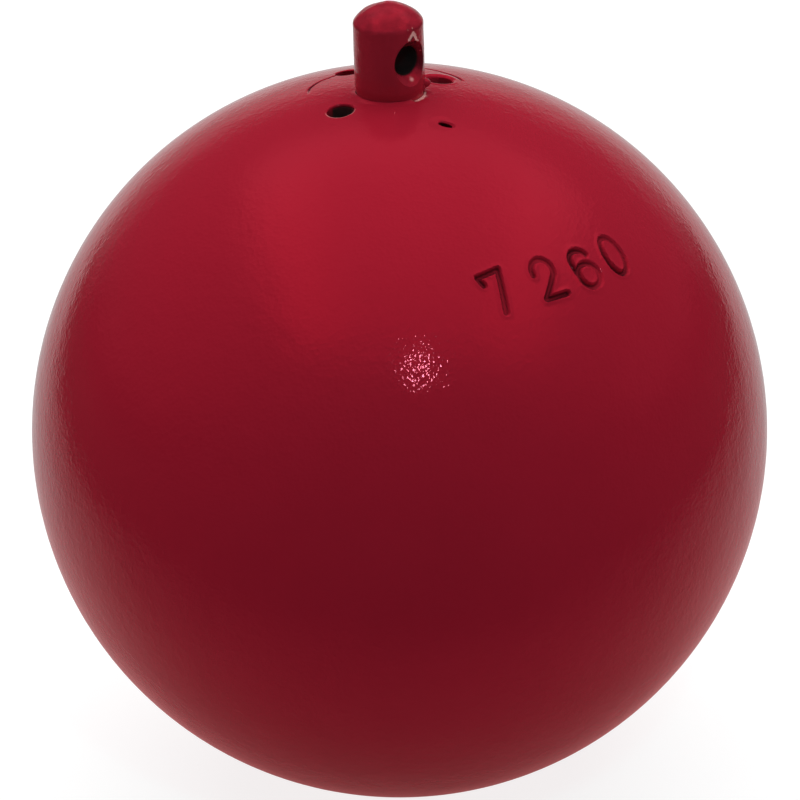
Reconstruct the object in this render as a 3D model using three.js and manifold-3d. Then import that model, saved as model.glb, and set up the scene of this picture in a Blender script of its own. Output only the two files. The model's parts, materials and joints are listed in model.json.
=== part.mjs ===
// Head of a throwing hammer: a cast iron ball with a ball bearing swivel screwed into its top.
// Millimetres, +Z up along the swivel axis, with the middle of the wire eye at the origin.
// Heights in this file are measured from the centre of the ball, and the last lines lower the
// whole head until the wire eye is at the origin. Azimuths are in degrees, 0 towards -Y.
//
// How it works: the wire hooks through the eye of the spindle and pulls it upwards. The nut at
// the foot of the spindle lifts the lower washer of the bearing, the balls press the upper
// washer into the plug, and the plug is screwed into the ball, which turns freely on the wire.

import * as THREE from 'three';
import { mergeVertices } from 'three/addons/utils/BufferGeometryUtils.js';
import Module from 'manifold-3d';

const wasm = await Module();
wasm.setup();

// Clearances that every fit shares
const gap = 0.3;
const overrun = 2;

// Ball
const ballRadius = 61;
const ballRings = 28;
const ballSides = 56;

// Spindle
const stubRadius = 5.5;
const stubAbovePole = 14.45;
const domeRise = 2.75;
const domeFillet = 1;
const shoulderStep = 0.5;
const tailStep = 0.3;
const tailPastNut = 2.4;
const tailChamfer = 1;
const spindleSides = 32;
const domeRings = 6;
const filletSteps = 3;

// Wire eye, countersunk at both ends, at a share of the stub's height
const eyeRadius = 2.4;
const eyeSinkRadius = 3.95;
const eyeRiseShare = 0.422;
const eyeAzimuth = 41;
const eyeSides = 24;

// Single thrust ball bearing, whose balls fill a share of the width of its rings, with as many
// of them as the cage can hold when a web is left between its pockets
const bearingRadius = 12;
const bearingBallShare = 0.34;
const bearingBallDetail = 2;
const cageWeb = 0.4;
const raceWasherThickness = 2.8;
const housingBoreStep = 0.5;
const grooveDepth = 0.7;
const grooveSteps = 6;
const washerChamfer = 0.4;
const cageInset = 0.3;
const cageThickness = 1.6;
const pocketGap = 0.25;
const pocketSides = 16;
const bearingSides = 36;

// Plug, screwed flush into the ball, with a recess for the upper washer of the bearing
const recessWall = 1.2;
const washerRecessDepth = 1.5;
const plugRimHeight = 12;
const plugCapRings = 5;
const spannerHoleRadius = 2.25;
const spannerHoleDepth = 4;
const spannerHoleInset = 3.6;
const spannerAzimuths = [-52.5, 127.5];
const spannerHoleSides = 18;

// Dust seal, in a groove of the plug's bore below the spanner holes
const sealWireRadius = 1;
const sealCover = 0.9;
const sealLand = 1;
const sealWireSides = 8;

// Plain washer and castle nut
const nutWasherOverhang = 1;
const nutWasherThickness = 2;
const nutAcrossFlats = 17;
const nutHeight = 12;
const nutSlotDepth = 4;
const nutChamferAngle = 30;
const nutBoreSides = 32;

// Split pin, bent from half-round wire
const pinWireRadius = 1.1;
const pinLegGap = 0.15;
const pinEyeRadius = 1.1;
const pinNeckRadius = 1.6;
const pinBendRadius = 1.6;
const pinUpperLeg = 4;
const pinTipPastTail = 0.7;
const pinBendSteps = 8;
const pinWireSteps = 6;

// Chamber in the ball under the plug
const chamberBelowPin = 1.1;
const chamberFillet = 1.5;

// Lock screws on the seam of the plug
const lockHoleDepth = 8;
const lockScrewRadius = 1.8;
const lockScrewLength = 6;
const lockScrewChamfer = 0.4;
const lockKeyAcrossFlats = 2;
const lockKeyDepth = 2.2;
const lockAzimuths = [-150, 36];
const lockSides = 18;

const degree = Math.PI / 180;
const fullTurn = 2 * Math.PI;
const quarterTurn = Math.PI / 2;
const hexSides = 6;

// Radii that follow from the sizes above
const shankRadius = stubRadius - shoulderStep;
const tailRadius = shankRadius - tailStep;
const plugBoreRadius = stubRadius + gap;
const shankBoreRadius = shankRadius + gap;
const pitchRadius = (shankRadius + bearingRadius) / 2;
const bearingBallRadius = bearingBallShare * (bearingRadius - shankRadius);
const pocketRadius = bearingBallRadius + pocketGap;
const pocketPitch = 2 * Math.asin((pocketRadius + cageWeb / 2) / pitchRadius);
const bearingBallCount = Math.floor(fullTurn / pocketPitch);
const chamberRadius = bearingRadius + gap;
const plugRadius = chamberRadius + recessWall;
const spannerPitchRadius = plugRadius - spannerHoleInset;
const sealPitchRadius = plugBoreRadius + sealWireRadius;
const pinHoleRadius = pinWireRadius + pinLegGap / 2 + gap;
const lockHoleRadius = lockScrewRadius + gap;
const nutWasherRadius = nutAcrossFlats / 2 + nutWasherOverhang;

// Heights that follow from them, from the surface of the ball down to the chamber's floor
const heightOnBall = (radius) => Math.sqrt(ballRadius ** 2 - radius ** 2);
const eyeHeight = ballRadius + eyeRiseShare * stubAbovePole;
const spannerHoleBottom = heightOnBall(spannerPitchRadius) - spannerHoleDepth;
const sealGrooveHalf = sealWireRadius + gap;
const sealHeight = spannerHoleBottom - sealCover - sealGrooveHalf;
const shoulderHeight = sealHeight - sealGrooveHalf - sealLand + gap;
const lockHoleBottom = heightOnBall(plugRadius) - lockHoleDepth;
const plugBottom = heightOnBall(plugRadius) - plugRimHeight;
const recessCeiling = plugBottom + washerRecessDepth;
const faceToPitch = bearingBallRadius - grooveDepth;
const pitchHeight = recessCeiling - gap - raceWasherThickness - faceToPitch;
const shaftWasherBottom = pitchHeight - faceToPitch - raceWasherThickness;
const nutWasherBottom = shaftWasherBottom - gap - nutWasherThickness;
const nutTop = nutWasherBottom - gap;
const nutBottom = nutTop - nutHeight;
const slotTop = nutBottom + nutSlotDepth;
const pinHeight = slotTop - pinEyeRadius - pinWireRadius - gap;
const tailBottom = nutBottom - tailPastNut;
const pinTipBottom = tailBottom - pinTipPastTail;
const chamberFloor = pinTipBottom - chamberBelowPin;

// Keeps the positions alone, merges shared corners and leaves out collapsed triangles
function closedBody(geometry) {
  geometry.deleteAttribute('normal');
  geometry.deleteAttribute('uv');
  const merged = mergeVertices(geometry);
  const corners = merged.index.array;
  const kept = [];
  for (let first = 0; first < corners.length; first += 3) {
    const [a, b, c] = corners.slice(first, first + 3);
    if (a !== b && b !== c && c !== a) kept.push(a, b, c);
  }
  merged.setIndex(kept);
  return merged;
}

function toSolid(geometry) {
  const mesh = new wasm.Mesh({
    numProp: 3,
    vertProperties: new Float32Array(geometry.attributes.position.array),
    triVerts: new Uint32Array(geometry.index.array),
  });
  return new wasm.Manifold(mesh);
}

function toGeometry(solid) {
  const mesh = solid.getMesh();
  const geometry = new THREE.BufferGeometry();
  geometry.setAttribute('position', new THREE.BufferAttribute(mesh.vertProperties, 3));
  geometry.setIndex(new THREE.BufferAttribute(mesh.triVerts, 1));
  return geometry;
}

function cut(body, tools) {
  let solid = toSolid(body);
  for (const tool of tools) solid = solid.subtract(toSolid(tool));
  return toGeometry(solid);
}

// Turns a profile of [radius, height] points about the swivel axis
function turned(profile, sides) {
  const points = profile.map(([radius, height]) => new THREE.Vector2(radius, height));
  return closedBody(new THREE.LatheGeometry(points, sides).rotateX(quarterTurn));
}

// Points of an arc in a profile, with both of its ends
function arc(centreRadius, centreHeight, radius, from, to, steps) {
  const points = [];
  for (let step = 0; step <= steps; step += 1) {
    const angle = from + (to - from) * step / steps;
    const across = centreRadius + radius * Math.cos(angle);
    points.push([across, centreHeight + radius * Math.sin(angle)]);
  }
  return points;
}

function ring(innerRadius, outerRadius, bottom, top, sides) {
  const profile = [
    [outerRadius, bottom], [outerRadius, top],
    [innerRadius, top], [innerRadius, bottom], [outerRadius, bottom],
  ];
  return turned(profile, sides);
}

// An upright round tool that stands at a radius and an azimuth from the swivel axis
function drill(radius, bottom, top, sides, pitch, azimuth) {
  const tool = new THREE.CylinderGeometry(radius, radius, top - bottom, sides);
  tool.rotateX(quarterTurn);
  tool.translate(0, -pitch, (top + bottom) / 2);
  tool.rotateZ(azimuth * degree);
  return closedBody(tool);
}

function hexagon(acrossFlats) {
  const cornerRadius = acrossFlats / 2 / Math.cos(Math.PI / hexSides);
  const shape = new THREE.Shape();
  for (let corner = 0; corner < hexSides; corner += 1) {
    const angle = (corner + 1 / 2) * fullTurn / hexSides;
    const x = cornerRadius * Math.cos(angle);
    const y = cornerRadius * Math.sin(angle);
    if (corner === 0) shape.moveTo(x, y);
    else shape.lineTo(x, y);
  }
  shape.closePath();
  return shape;
}

function hexBar(acrossFlats, bottom, top) {
  const bar = new THREE.ExtrudeGeometry(hexagon(acrossFlats), {
    depth: top - bottom,
    bevelEnabled: false,
  });
  return closedBody(bar.translate(0, 0, bottom));
}

// The two holes that straddle the seam, half in the plug and half in the ball
function lockHoles() {
  const top = ballRadius + overrun;
  const tools = [];
  for (const azimuth of lockAzimuths) {
    tools.push(drill(lockHoleRadius, lockHoleBottom, top, lockSides, plugRadius, azimuth));
  }
  return tools;
}

// The cast ball with its mouth, the ledge that the plug lands on and the bored chamber
function ballBody() {
  const mouthRadius = plugRadius + gap;
  const ledge = plugBottom - gap;
  const rimAngle = Math.acos(mouthRadius / ballRadius);
  const floorCentre = chamberFloor + chamberFillet;
  const profile = [
    ...arc(0, 0, ballRadius, -quarterTurn, rimAngle, ballRings),
    [mouthRadius, ledge],
    [chamberRadius, ledge],
    ...arc(chamberRadius - chamberFillet, floorCentre, chamberFillet, 0, -quarterTurn, filletSteps),
    [0, chamberFloor],
  ];
  return cut(turned(profile, ballSides), lockHoles());
}

// The plug: a crown that carries on the ball's surface, a stepped bore and a washer recess
function swivelPlug() {
  const boreAngle = Math.acos(plugBoreRadius / ballRadius);
  const rimAngle = Math.acos(plugRadius / ballRadius);
  const grooveRadius = sealPitchRadius + sealGrooveHalf;
  const step = shoulderHeight - gap;
  const profile = [
    [plugRadius, plugBottom],
    ...arc(0, 0, ballRadius, rimAngle, boreAngle, plugCapRings),
    [plugBoreRadius, sealHeight + sealGrooveHalf],
    [grooveRadius, sealHeight + sealGrooveHalf],
    [grooveRadius, sealHeight - sealGrooveHalf],
    [plugBoreRadius, sealHeight - sealGrooveHalf],
    [plugBoreRadius, step],
    [shankBoreRadius, step],
    [shankBoreRadius, recessCeiling],
    [chamberRadius, recessCeiling],
    [chamberRadius, plugBottom],
    [plugRadius, plugBottom],
  ];
  const holeTop = ballRadius + overrun;
  const tools = lockHoles();
  for (const azimuth of spannerAzimuths) {
    const hole = [spannerHoleRadius, spannerHoleBottom, holeTop, spannerHoleSides];
    tools.push(drill(...hole, spannerPitchRadius, azimuth));
  }
  return cut(turned(profile, ballSides), tools);
}

// An hourglass tool: the straight hole and the 90 degree countersinks at both of its ends
function eyeTool() {
  const sinkDepth = eyeSinkRadius - eyeRadius;
  const straightHalf = stubRadius - sinkDepth;
  const reach = stubRadius + overrun;
  const mouth = eyeSinkRadius + overrun;
  const profile = [
    [0, -reach], [mouth, -reach],
    [eyeRadius, -straightHalf], [eyeRadius, straightHalf],
    [mouth, reach], [0, reach],
  ];
  const tool = turned(profile, eyeSides);
  tool.rotateX(quarterTurn);
  tool.rotateZ(eyeAzimuth * degree);
  return tool.translate(0, 0, eyeHeight);
}

// The hole for the split pin runs along X
function pinHoleTool() {
  const length = 2 * (tailRadius + overrun);
  const tool = new THREE.CylinderGeometry(pinHoleRadius, pinHoleRadius, length, pocketSides);
  tool.rotateZ(quarterTurn);
  return closedBody(tool.translate(0, 0, pinHeight));
}

// The spindle: a domed stub with the wire eye, a shoulder, the shank and the nut's tail
function spindle() {
  const domeRadius = (stubRadius ** 2 + domeRise ** 2) / (2 * domeRise);
  const domeCentre = ballRadius + stubAbovePole - domeRadius;
  const filletCentreRadius = stubRadius - domeFillet;
  const filletReach = domeRadius - domeFillet;
  const filletRise = Math.sqrt(filletReach ** 2 - filletCentreRadius ** 2);
  const filletAngle = Math.atan2(filletRise, filletCentreRadius);
  const filletHeight = domeCentre + filletRise;
  const profile = [
    [0, tailBottom],
    [tailRadius - tailChamfer, tailBottom],
    [tailRadius, tailBottom + tailChamfer],
    [tailRadius, nutTop],
    [shankRadius, nutTop + gap],
    [shankRadius, shoulderHeight],
    [stubRadius, shoulderHeight],
    ...arc(filletCentreRadius, filletHeight, domeFillet, 0, filletAngle, filletSteps),
    ...arc(0, domeCentre, domeRadius, filletAngle, quarterTurn, domeRings).slice(1),
  ];
  return cut(turned(profile, spindleSides), [eyeTool(), pinHoleTool()]);
}

function dustSeal() {
  const section = arc(sealPitchRadius, sealHeight, sealWireRadius, 0, fullTurn, sealWireSides);
  return turned(section, bearingSides);
}

// A grooved bearing washer, drawn above the plane of the ball centres
function raceWasher(boreRadius) {
  const grooveRadius = bearingBallRadius + gap;
  const grooveAngle = Math.asin(faceToPitch / grooveRadius);
  const face = faceToPitch;
  const back = faceToPitch + raceWasherThickness;
  const profile = [
    [bearingRadius, face + washerChamfer],
    [bearingRadius, back - washerChamfer],
    [bearingRadius - washerChamfer, back],
    [boreRadius, back],
    [boreRadius, face],
    ...arc(pitchRadius, 0, grooveRadius, Math.PI - grooveAngle, grooveAngle, grooveSteps),
    [bearingRadius - washerChamfer, face],
    [bearingRadius, face + washerChamfer],
  ];
  return turned(profile, bearingSides);
}

// The flat cage, with a round pocket for each ball
function bearingCage() {
  const half = cageThickness / 2;
  const blank = ring(shankBoreRadius, bearingRadius - cageInset, -half, half, bearingSides);
  const reach = cageThickness + overrun;
  const pockets = [];
  for (let place = 0; place < bearingBallCount; place += 1) {
    const azimuth = place * 360 / bearingBallCount;
    pockets.push(drill(pocketRadius, -reach, reach, pocketSides, pitchRadius, azimuth));
  }
  return cut(blank, pockets);
}

function bearingBall() {
  return closedBody(new THREE.IcosahedronGeometry(bearingBallRadius, bearingBallDetail));
}

// The slotted nut: a hexagon bar, chamfered at both ends, bored and cut by three cross slots
function castleNut() {
  const flat = nutAcrossFlats / 2;
  const outer = nutAcrossFlats + overrun;
  const drop = (outer - flat) * Math.tan(nutChamferAngle * degree);
  const chamfers = turned([
    [0, nutBottom - overrun], [flat, nutBottom], [outer, nutBottom + drop],
    [outer, nutTop - drop], [flat, nutTop], [0, nutTop + overrun],
  ], nutBoreSides);
  const bar = toSolid(hexBar(nutAcrossFlats, nutBottom, nutTop));
  const blank = toGeometry(bar.intersect(toSolid(chamfers)));
  const boreRadius = tailRadius + gap;
  const boreBottom = nutBottom - overrun;
  const tools = [drill(boreRadius, boreBottom, nutTop + overrun, nutBoreSides, 0, 0)];
  for (let slot = 0; slot < hexSides / 2; slot += 1) {
    const height = nutSlotDepth + overrun;
    const width = 2 * (pinWireRadius + gap);
    const tool = new THREE.BoxGeometry(2 * nutAcrossFlats, width, height);
    tool.translate(0, 0, slotTop - height / 2);
    tools.push(closedBody(tool.rotateZ(slot * fullTurn / hexSides)));
  }
  return cut(blank, tools);
}

// A flat run of bent wire, where a straight takes one step and each bend the same few
class BentWire extends THREE.Curve {
  constructor(outline, bendSteps) {
    super();
    this.outline = outline;
    this.stops = [0];
    let run = 0;
    for (const piece of outline.curves) {
      const steps = piece.isLineCurve ? 1 : bendSteps;
      for (let step = 1; step <= steps; step += 1) {
        this.stops.push((run + piece.getLength() * step / steps) / outline.getLength());
      }
      run += piece.getLength();
    }
  }

  get steps() {
    return this.stops.length - 1;
  }

  getPoint(share, target = new THREE.Vector3()) {
    const place = share * this.steps;
    const before = Math.min(Math.floor(place), this.steps - 1);
    const along = THREE.MathUtils.lerp(this.stops[before], this.stops[before + 1], place - before);
    const point = this.outline.getPoint(along);
    return target.set(point.x, 0, point.y);
  }

  getPointAt(share, target) {
    return this.getPoint(share, target);
  }

  getTangentAt(share, target) {
    return this.getTangent(share, target);
  }
}

// The pin's route in its own plane, from the tip of the upper leg round the eye to the other tip
function pinOutline() {
  const legLine = pinLegGap / 2;
  const turnLine = legLine + pinBendRadius;
  const upperBend = nutAcrossFlats / 2 + gap + pinWireRadius - pinBendRadius;
  const lowerBend = tailRadius + gap + pinWireRadius - pinBendRadius;
  const neckLine = legLine + pinNeckRadius;
  const neckToEye = Math.sqrt((pinNeckRadius + pinEyeRadius) ** 2 - neckLine ** 2);
  const neckAngle = Math.atan2(neckToEye, neckLine);
  const neck = -tailRadius - gap;
  const eye = neck - neckToEye;
  const up = quarterTurn;
  const down = -quarterTurn;
  const outline = new THREE.Path();
  outline.moveTo(upperBend + pinBendRadius, turnLine + pinUpperLeg);
  outline.lineTo(upperBend + pinBendRadius, turnLine);
  outline.absarc(upperBend, turnLine, pinBendRadius, 0, down, true);
  outline.lineTo(neck, legLine);
  outline.absarc(neck, neckLine, pinNeckRadius, down, down - neckAngle, true);
  outline.absarc(eye, 0, pinEyeRadius, up - neckAngle, fullTurn - up + neckAngle, false);
  outline.absarc(neck, -neckLine, pinNeckRadius, up + neckAngle, up, true);
  outline.lineTo(lowerBend, -legLine);
  outline.absarc(lowerBend, -turnLine, pinBendRadius, up, 0, true);
  outline.lineTo(lowerBend + pinBendRadius, pinTipBottom - pinHeight);
  return outline;
}

// The split pin: half-round wire folded flat to flat, with an eye and two bent legs
function splitPin() {
  const section = new THREE.Shape();
  section.absarc(0, 0, pinWireRadius, 0, Math.PI, false);
  section.closePath();
  const path = new BentWire(pinOutline(), pinBendSteps);
  const wire = new THREE.ExtrudeGeometry(section, {
    steps: path.steps,
    curveSegments: pinWireSteps,
    extrudePath: path,
  });
  return closedBody(wire.translate(0, 0, pinHeight));
}

// A grub screw with a hexagon socket, standing at the bottom of its hole on the seam
function lockScrew() {
  const bottom = lockHoleBottom + gap;
  const top = bottom + lockScrewLength;
  const profile = [
    [0, bottom],
    [lockScrewRadius - lockScrewChamfer, bottom],
    [lockScrewRadius, bottom + lockScrewChamfer],
    [lockScrewRadius, top - lockScrewChamfer],
    [lockScrewRadius - lockScrewChamfer, top],
    [0, top],
  ];
  const key = hexBar(lockKeyAcrossFlats, top - lockKeyDepth, top + overrun);
  return cut(turned(profile, lockSides), [key]).translate(0, -plugRadius, 0);
}

const enamel = new THREE.MeshStandardMaterial({ color: 0x8e1524, roughness: 0.25, metalness: 0 });
const steel = new THREE.MeshStandardMaterial({ color: 0xb4b6b8, roughness: 0.3, metalness: 1 });
const oiled = new THREE.MeshStandardMaterial({ color: 0x3c3d3f, roughness: 0.5, metalness: 1 });
const plated = new THREE.MeshStandardMaterial({ color: 0xc2c0b4, roughness: 0.4, metalness: 1 });
const rubber = new THREE.MeshStandardMaterial({ color: 0x1c1c1c, roughness: 0.85, metalness: 0 });
const pressed = new THREE.MeshStandardMaterial({ color: 0x9a9b9d, roughness: 0.4, metalness: 1 });

// Each sub-part is a named mesh with a material of its own
function piece(name, geometry, finish) {
  const mesh = new THREE.Mesh(geometry, finish.clone());
  mesh.name = name;
  return mesh;
}

function bearing() {
  const group = new THREE.Group();
  const shaftWasher = raceWasher(shankBoreRadius).rotateX(Math.PI);
  const housingBore = shankRadius + housingBoreStep;
  group.add(piece('housing_washer', raceWasher(housingBore), steel));
  group.add(piece('shaft_washer', shaftWasher, steel));
  group.add(piece('bearing_cage', bearingCage(), pressed));
  for (let place = 0; place < bearingBallCount; place += 1) {
    const angle = place * fullTurn / bearingBallCount;
    const ball = piece(`bearing_ball_${place + 1}`, bearingBall(), steel);
    ball.position.set(pitchRadius * Math.sin(angle), -pitchRadius * Math.cos(angle), 0);
    group.add(ball);
  }
  group.position.z = pitchHeight;
  return group;
}

const head = new THREE.Group();
head.add(piece('ball_body', ballBody(), enamel));
head.add(piece('swivel_plug', swivelPlug(), enamel));
head.add(piece('dust_seal', dustSeal(), rubber));
lockAzimuths.forEach((azimuth, place) => {
  const screw = piece(`lock_screw_${place + 1}`, lockScrew(), oiled);
  screw.rotation.z = azimuth * degree;
  head.add(screw);
});

const swivel = new THREE.Group();
const nutWasherFlat = ring(
  shankBoreRadius, nutWasherRadius, nutWasherBottom, nutWasherBottom + nutWasherThickness,
  bearingSides,
);
swivel.add(piece('spindle', spindle(), enamel));
swivel.add(bearing());
swivel.add(piece('nut_washer', nutWasherFlat, plated));
swivel.add(piece('castle_nut', castleNut(), plated));
swivel.add(piece('split_pin', splitPin(), plated));

const group = new THREE.Group();
group.add(head, swivel);
group.position.z = -eyeHeight;

export default group;
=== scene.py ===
"""Head of a throwing hammer: an enamelled iron ball with a ball-bearing swivel in its top.

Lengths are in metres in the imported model's frame, with +Z up along the swivel axis and the
middle of the wire eye at the origin. Angles are in degrees: an azimuth is 0 towards -Y and
grows towards +X, and a polar angle is measured from the top of the ball.
"""
import json
import math

import bpy
import numpy as np
from mathutils import Matrix, Vector, noise


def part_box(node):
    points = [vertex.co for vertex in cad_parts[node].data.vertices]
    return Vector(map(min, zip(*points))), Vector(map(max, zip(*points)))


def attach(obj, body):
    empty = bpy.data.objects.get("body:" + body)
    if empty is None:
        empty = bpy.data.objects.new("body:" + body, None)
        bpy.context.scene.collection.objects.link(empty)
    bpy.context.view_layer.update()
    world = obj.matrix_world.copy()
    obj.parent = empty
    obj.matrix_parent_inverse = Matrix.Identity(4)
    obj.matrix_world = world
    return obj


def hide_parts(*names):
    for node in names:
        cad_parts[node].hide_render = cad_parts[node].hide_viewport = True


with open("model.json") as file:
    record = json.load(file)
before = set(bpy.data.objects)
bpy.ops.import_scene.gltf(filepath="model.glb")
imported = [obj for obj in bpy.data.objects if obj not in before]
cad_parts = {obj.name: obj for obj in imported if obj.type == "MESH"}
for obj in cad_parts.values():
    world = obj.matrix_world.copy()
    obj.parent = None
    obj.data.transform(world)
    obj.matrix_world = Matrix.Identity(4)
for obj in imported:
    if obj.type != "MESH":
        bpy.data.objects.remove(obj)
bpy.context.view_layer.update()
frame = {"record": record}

mm = 0.001

# The ball: grey iron cast round, bored from the top for the swivel and enamelled red.
# The weight of the whole hammer in grams is struck into it by hand, one digit at a time, and
# the enamel has run into the digits.
ball_radius = 61 * mm
ball_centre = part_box("ball_body")[0].z + ball_radius
plug_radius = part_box("swivel_plug")[1].x
seam_width = 0.006 * mm
seam_polar = math.degrees(math.asin(plug_radius / ball_radius))
mouth_radius = plug_radius + seam_width
ledge_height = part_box("swivel_plug")[0].z
chamber_radius = 12.3 * mm
chamber_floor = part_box("split_pin")[0].z - 1.1 * mm
chamber_fillet = 1.5 * mm
casting_edge = 0.4 * mm

seam_groove_half = 0.17 * mm
seam_filled_depth = 0.008 * mm
seam_open_depth = 0.45 * mm
seam_filled_towards = 7
seam_opens_at = (109, 121)
seam_strays = (0.2 * mm, 0.6 * mm)
seam_strays_from = (0, 90)
seam_strays_until = (132, 142)
seam_darkness = 1.5
seam_darkness_fade = 0.4

stamp_foot_polar = 48.1
stamp_height = 6.6 * mm
stamp_width = 4.1 * mm
stamp_floor_half = 0.27 * mm
stamp_wall = 0.36 * mm
stamp_depth = 0.6 * mm
stamp_lip = 0.1 * mm
stamp_bites = (0.3, 1.3)
stamp_floor_shade = 0.62
stamp_shaded_wall = 0.8
far_off = 1.0

stamp_fine_azimuths = (15, 59)
stamp_fine_polars = (39, 50)
fine_azimuth_step = 0.25
fine_polar_step = 0.2
coarse_sides = 128
seam_rings = 24
seam_rings_reach = 1.5
upper_rings = 30
lower_rings = 66
floor_rings = (0.3, 0.6)


def smooth_step(value, start, end):
    share = np.clip((value - start) / (end - start), 0, 1)
    return share * share * (3 - 2 * share)


def arc(centre_radius, centre_height, radius, start, end, steps):
    """Points (radius, height) of an arc in a profile, with both of its ends."""
    turn = np.radians(np.linspace(start, end, steps + 1))
    return [
        (centre_radius + radius * math.cos(t), centre_height + radius * math.sin(t)) for t in turn
    ]


def link(name, mesh):
    piece = bpy.data.objects.new(name, mesh)
    bpy.context.scene.collection.objects.link(piece)
    return piece


def skin(name, radius, height, azimuths, tips=None):
    """A closed mesh from rings of points, in order down its outside.

    The tips are the heights of the two points on the axis that close it. Without them the last
    ring joins the first.
    """
    rings, sides = radius.shape
    turn = np.radians(azimuths)
    points = np.stack([radius * np.sin(turn), -radius * np.cos(turn), height], axis=-1)
    points = points.reshape(-1, 3)
    steps = rings - 1 if tips else rings
    ring, side = np.meshgrid(np.arange(steps), np.arange(sides), indexing="ij")
    below = (ring + 1) % rings
    beside = (side + 1) % sides
    corners = [(ring, side), (below, side), (below, beside), (ring, beside)]
    quads = np.stack([r * sides + s for r, s in corners], axis=-1)
    faces = quads.reshape(-1, 4).tolist()
    if tips:
        first, last = len(points), len(points) + 1
        points = np.vstack([points, [0, 0, tips[0]], [0, 0, tips[1]]])
        foot = (rings - 1) * sides
        for place in range(sides):
            after = (place + 1) % sides
            faces.append([first, place, after])
            faces.append([last, foot + after, foot + place])
    mesh = bpy.data.meshes.new(name)
    mesh.from_pydata(points.tolist(), [], faces)
    return link(name, mesh)


def rings_of(profile, sides):
    """Rings of a plain turned profile, as arrays of radii and heights."""
    radius, height = np.array(profile).T
    return np.repeat(radius[:, None], sides, axis=1), np.repeat(height[:, None], sides, axis=1)


def stacked(*rings):
    """Joins sets of rings, each an array of radii and one of heights, in order."""
    radii, heights = zip(*rings)
    return np.vstack(radii), np.vstack(heights)


def rings_on_ball(polars, azimuths, dip):
    """Rings of the ball's surface, sunk by dip(polar, azimuth)."""
    polar, azimuth = np.meshgrid(polars, azimuths, indexing="ij")
    reach = ball_radius - dip(polar, azimuth)
    across = reach * np.sin(np.radians(polar))
    return across, ball_centre + reach * np.cos(np.radians(polar))


def turn_from(azimuth, start):
    """The turn from the start to the azimuth, between -180 and 180 degrees."""
    return (azimuth - start + 180) % 360 - 180


def seam_line(polar, azimuth):
    """How near to the seam's middle, and how open: it strays outwards, most on the left."""
    turn = turn_from(azimuth, seam_filled_towards)
    opened = smooth_step(np.abs(turn), *seam_opens_at)
    on_left = smooth_step(-turn, *seam_strays_from) * (1 - smooth_step(-turn, *seam_strays_until))
    stray = seam_strays[0] + (seam_strays[1] - seam_strays[0]) * on_left
    distance = np.radians(polar - seam_polar) * ball_radius - stray * opened
    return np.exp(-((distance / seam_groove_half) ** 2)), opened


def seam_dip(polar, azimuth):
    """The groove along the plug's edge, nearly full of enamel in front and open behind."""
    near, opened = seam_line(polar, azimuth)
    return near * (seam_filled_depth + (seam_open_depth - seam_filled_depth) * opened)


def bow(centre, half_width, half_height, start, end, steps=14):
    """Points of a bow in a digit, round its centre from one angle to another."""
    turn = np.radians(np.linspace(start, end, steps + 1))
    x = centre[0] + half_width * np.cos(turn)
    y = centre[1] + half_height * np.sin(turn)
    return list(zip(x, y))


# Each digit's strokes, as shares of the digit's width and height from its lower left corner
digit_shares = {
    "7": [[(0.14, 0.74), (0.02, 0.97), (0.98, 1), (0.5, -0.06)]],
    "2": [bow((0.5, 0.69), 0.46, 0.31, 190, -30) + [(0.2, 0), (1.1, 0)]],
    "6": [bow((0.5, 0.69), 0.46, 0.31, 15, 180) + bow((0.5, 0.31), 0.46, 0.31, 180, 540, 20)],
    "0": [bow((0.5, 0.5), 0.45, 0.5, 0, 360, 20)],
}

# Digit, azimuth, tilt in degrees, how far it was struck too high, and how much deeper it bit
# into the iron at its right and at its top than in its middle
struck_digits = [
    ("7", 21.2, 9, 0.3 * mm, -0.1, 0.15),
    ("2", 33.0, -1, 0.5 * mm, -0.1, -0.25),
    ("6", 43.2, 6, -0.2 * mm, -0.3, 0.2),
    ("0", 52.2, -5, -0.4 * mm, -0.3, -0.2),
]


def stroke_distance(x, y, stroke):
    nearest = np.full(x.shape, far_off)
    for (x0, y0), (x1, y1) in zip(stroke, stroke[1:]):
        run = np.array([x1 - x0, y1 - y0])
        share = np.clip(((x - x0) * run[0] + (y - y0) * run[1]) / (run @ run), 0, 1)
        gap = np.hypot(x - x0 - share * run[0], y - y0 - share * run[1])
        nearest = np.minimum(nearest, gap)
    return nearest


def digit_marks(polar, azimuth):
    """For each digit the distance to its nearest stroke, and how deep it bit at that place."""
    middle_polar = math.radians(stamp_foot_polar) - stamp_height / 2 / ball_radius
    ring_radius = ball_radius * math.sin(middle_polar)
    up = np.radians(stamp_foot_polar - polar) * ball_radius
    for digit, middle, tilt, raised, bite_right, bite_up in struck_digits:
        across = np.radians(azimuth - middle) * ring_radius
        lean = math.radians(tilt)
        high = up - stamp_height / 2 - raised
        x = across * math.cos(lean) + high * math.sin(lean) + stamp_width / 2
        y = high * math.cos(lean) - across * math.sin(lean) + stamp_height / 2
        nearest = np.full(polar.shape, far_off)
        for shares in digit_shares[digit]:
            stroke = [(u * stamp_width, v * stamp_height) for u, v in shares]
            nearest = np.minimum(nearest, stroke_distance(x, y, stroke))
        bite = bite_right * (2 * x / stamp_width - 1) + bite_up * (2 * y / stamp_height - 1)
        yield nearest, np.clip(1 + bite, *stamp_bites)


def stamp_dip(polar, azimuth):
    """How far the struck digits sink the surface, with the metal raised beside them."""
    dip = np.zeros(polar.shape)
    wall_top = stamp_floor_half + stamp_wall
    for nearest, bite in digit_marks(polar, azimuth):
        sunk = stamp_depth * bite * (1 - smooth_step(nearest, stamp_floor_half, wall_top))
        dip += sunk - stamp_lip * bite * np.exp(-(((nearest - wall_top) / stamp_wall) ** 2))
    return dip


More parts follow.
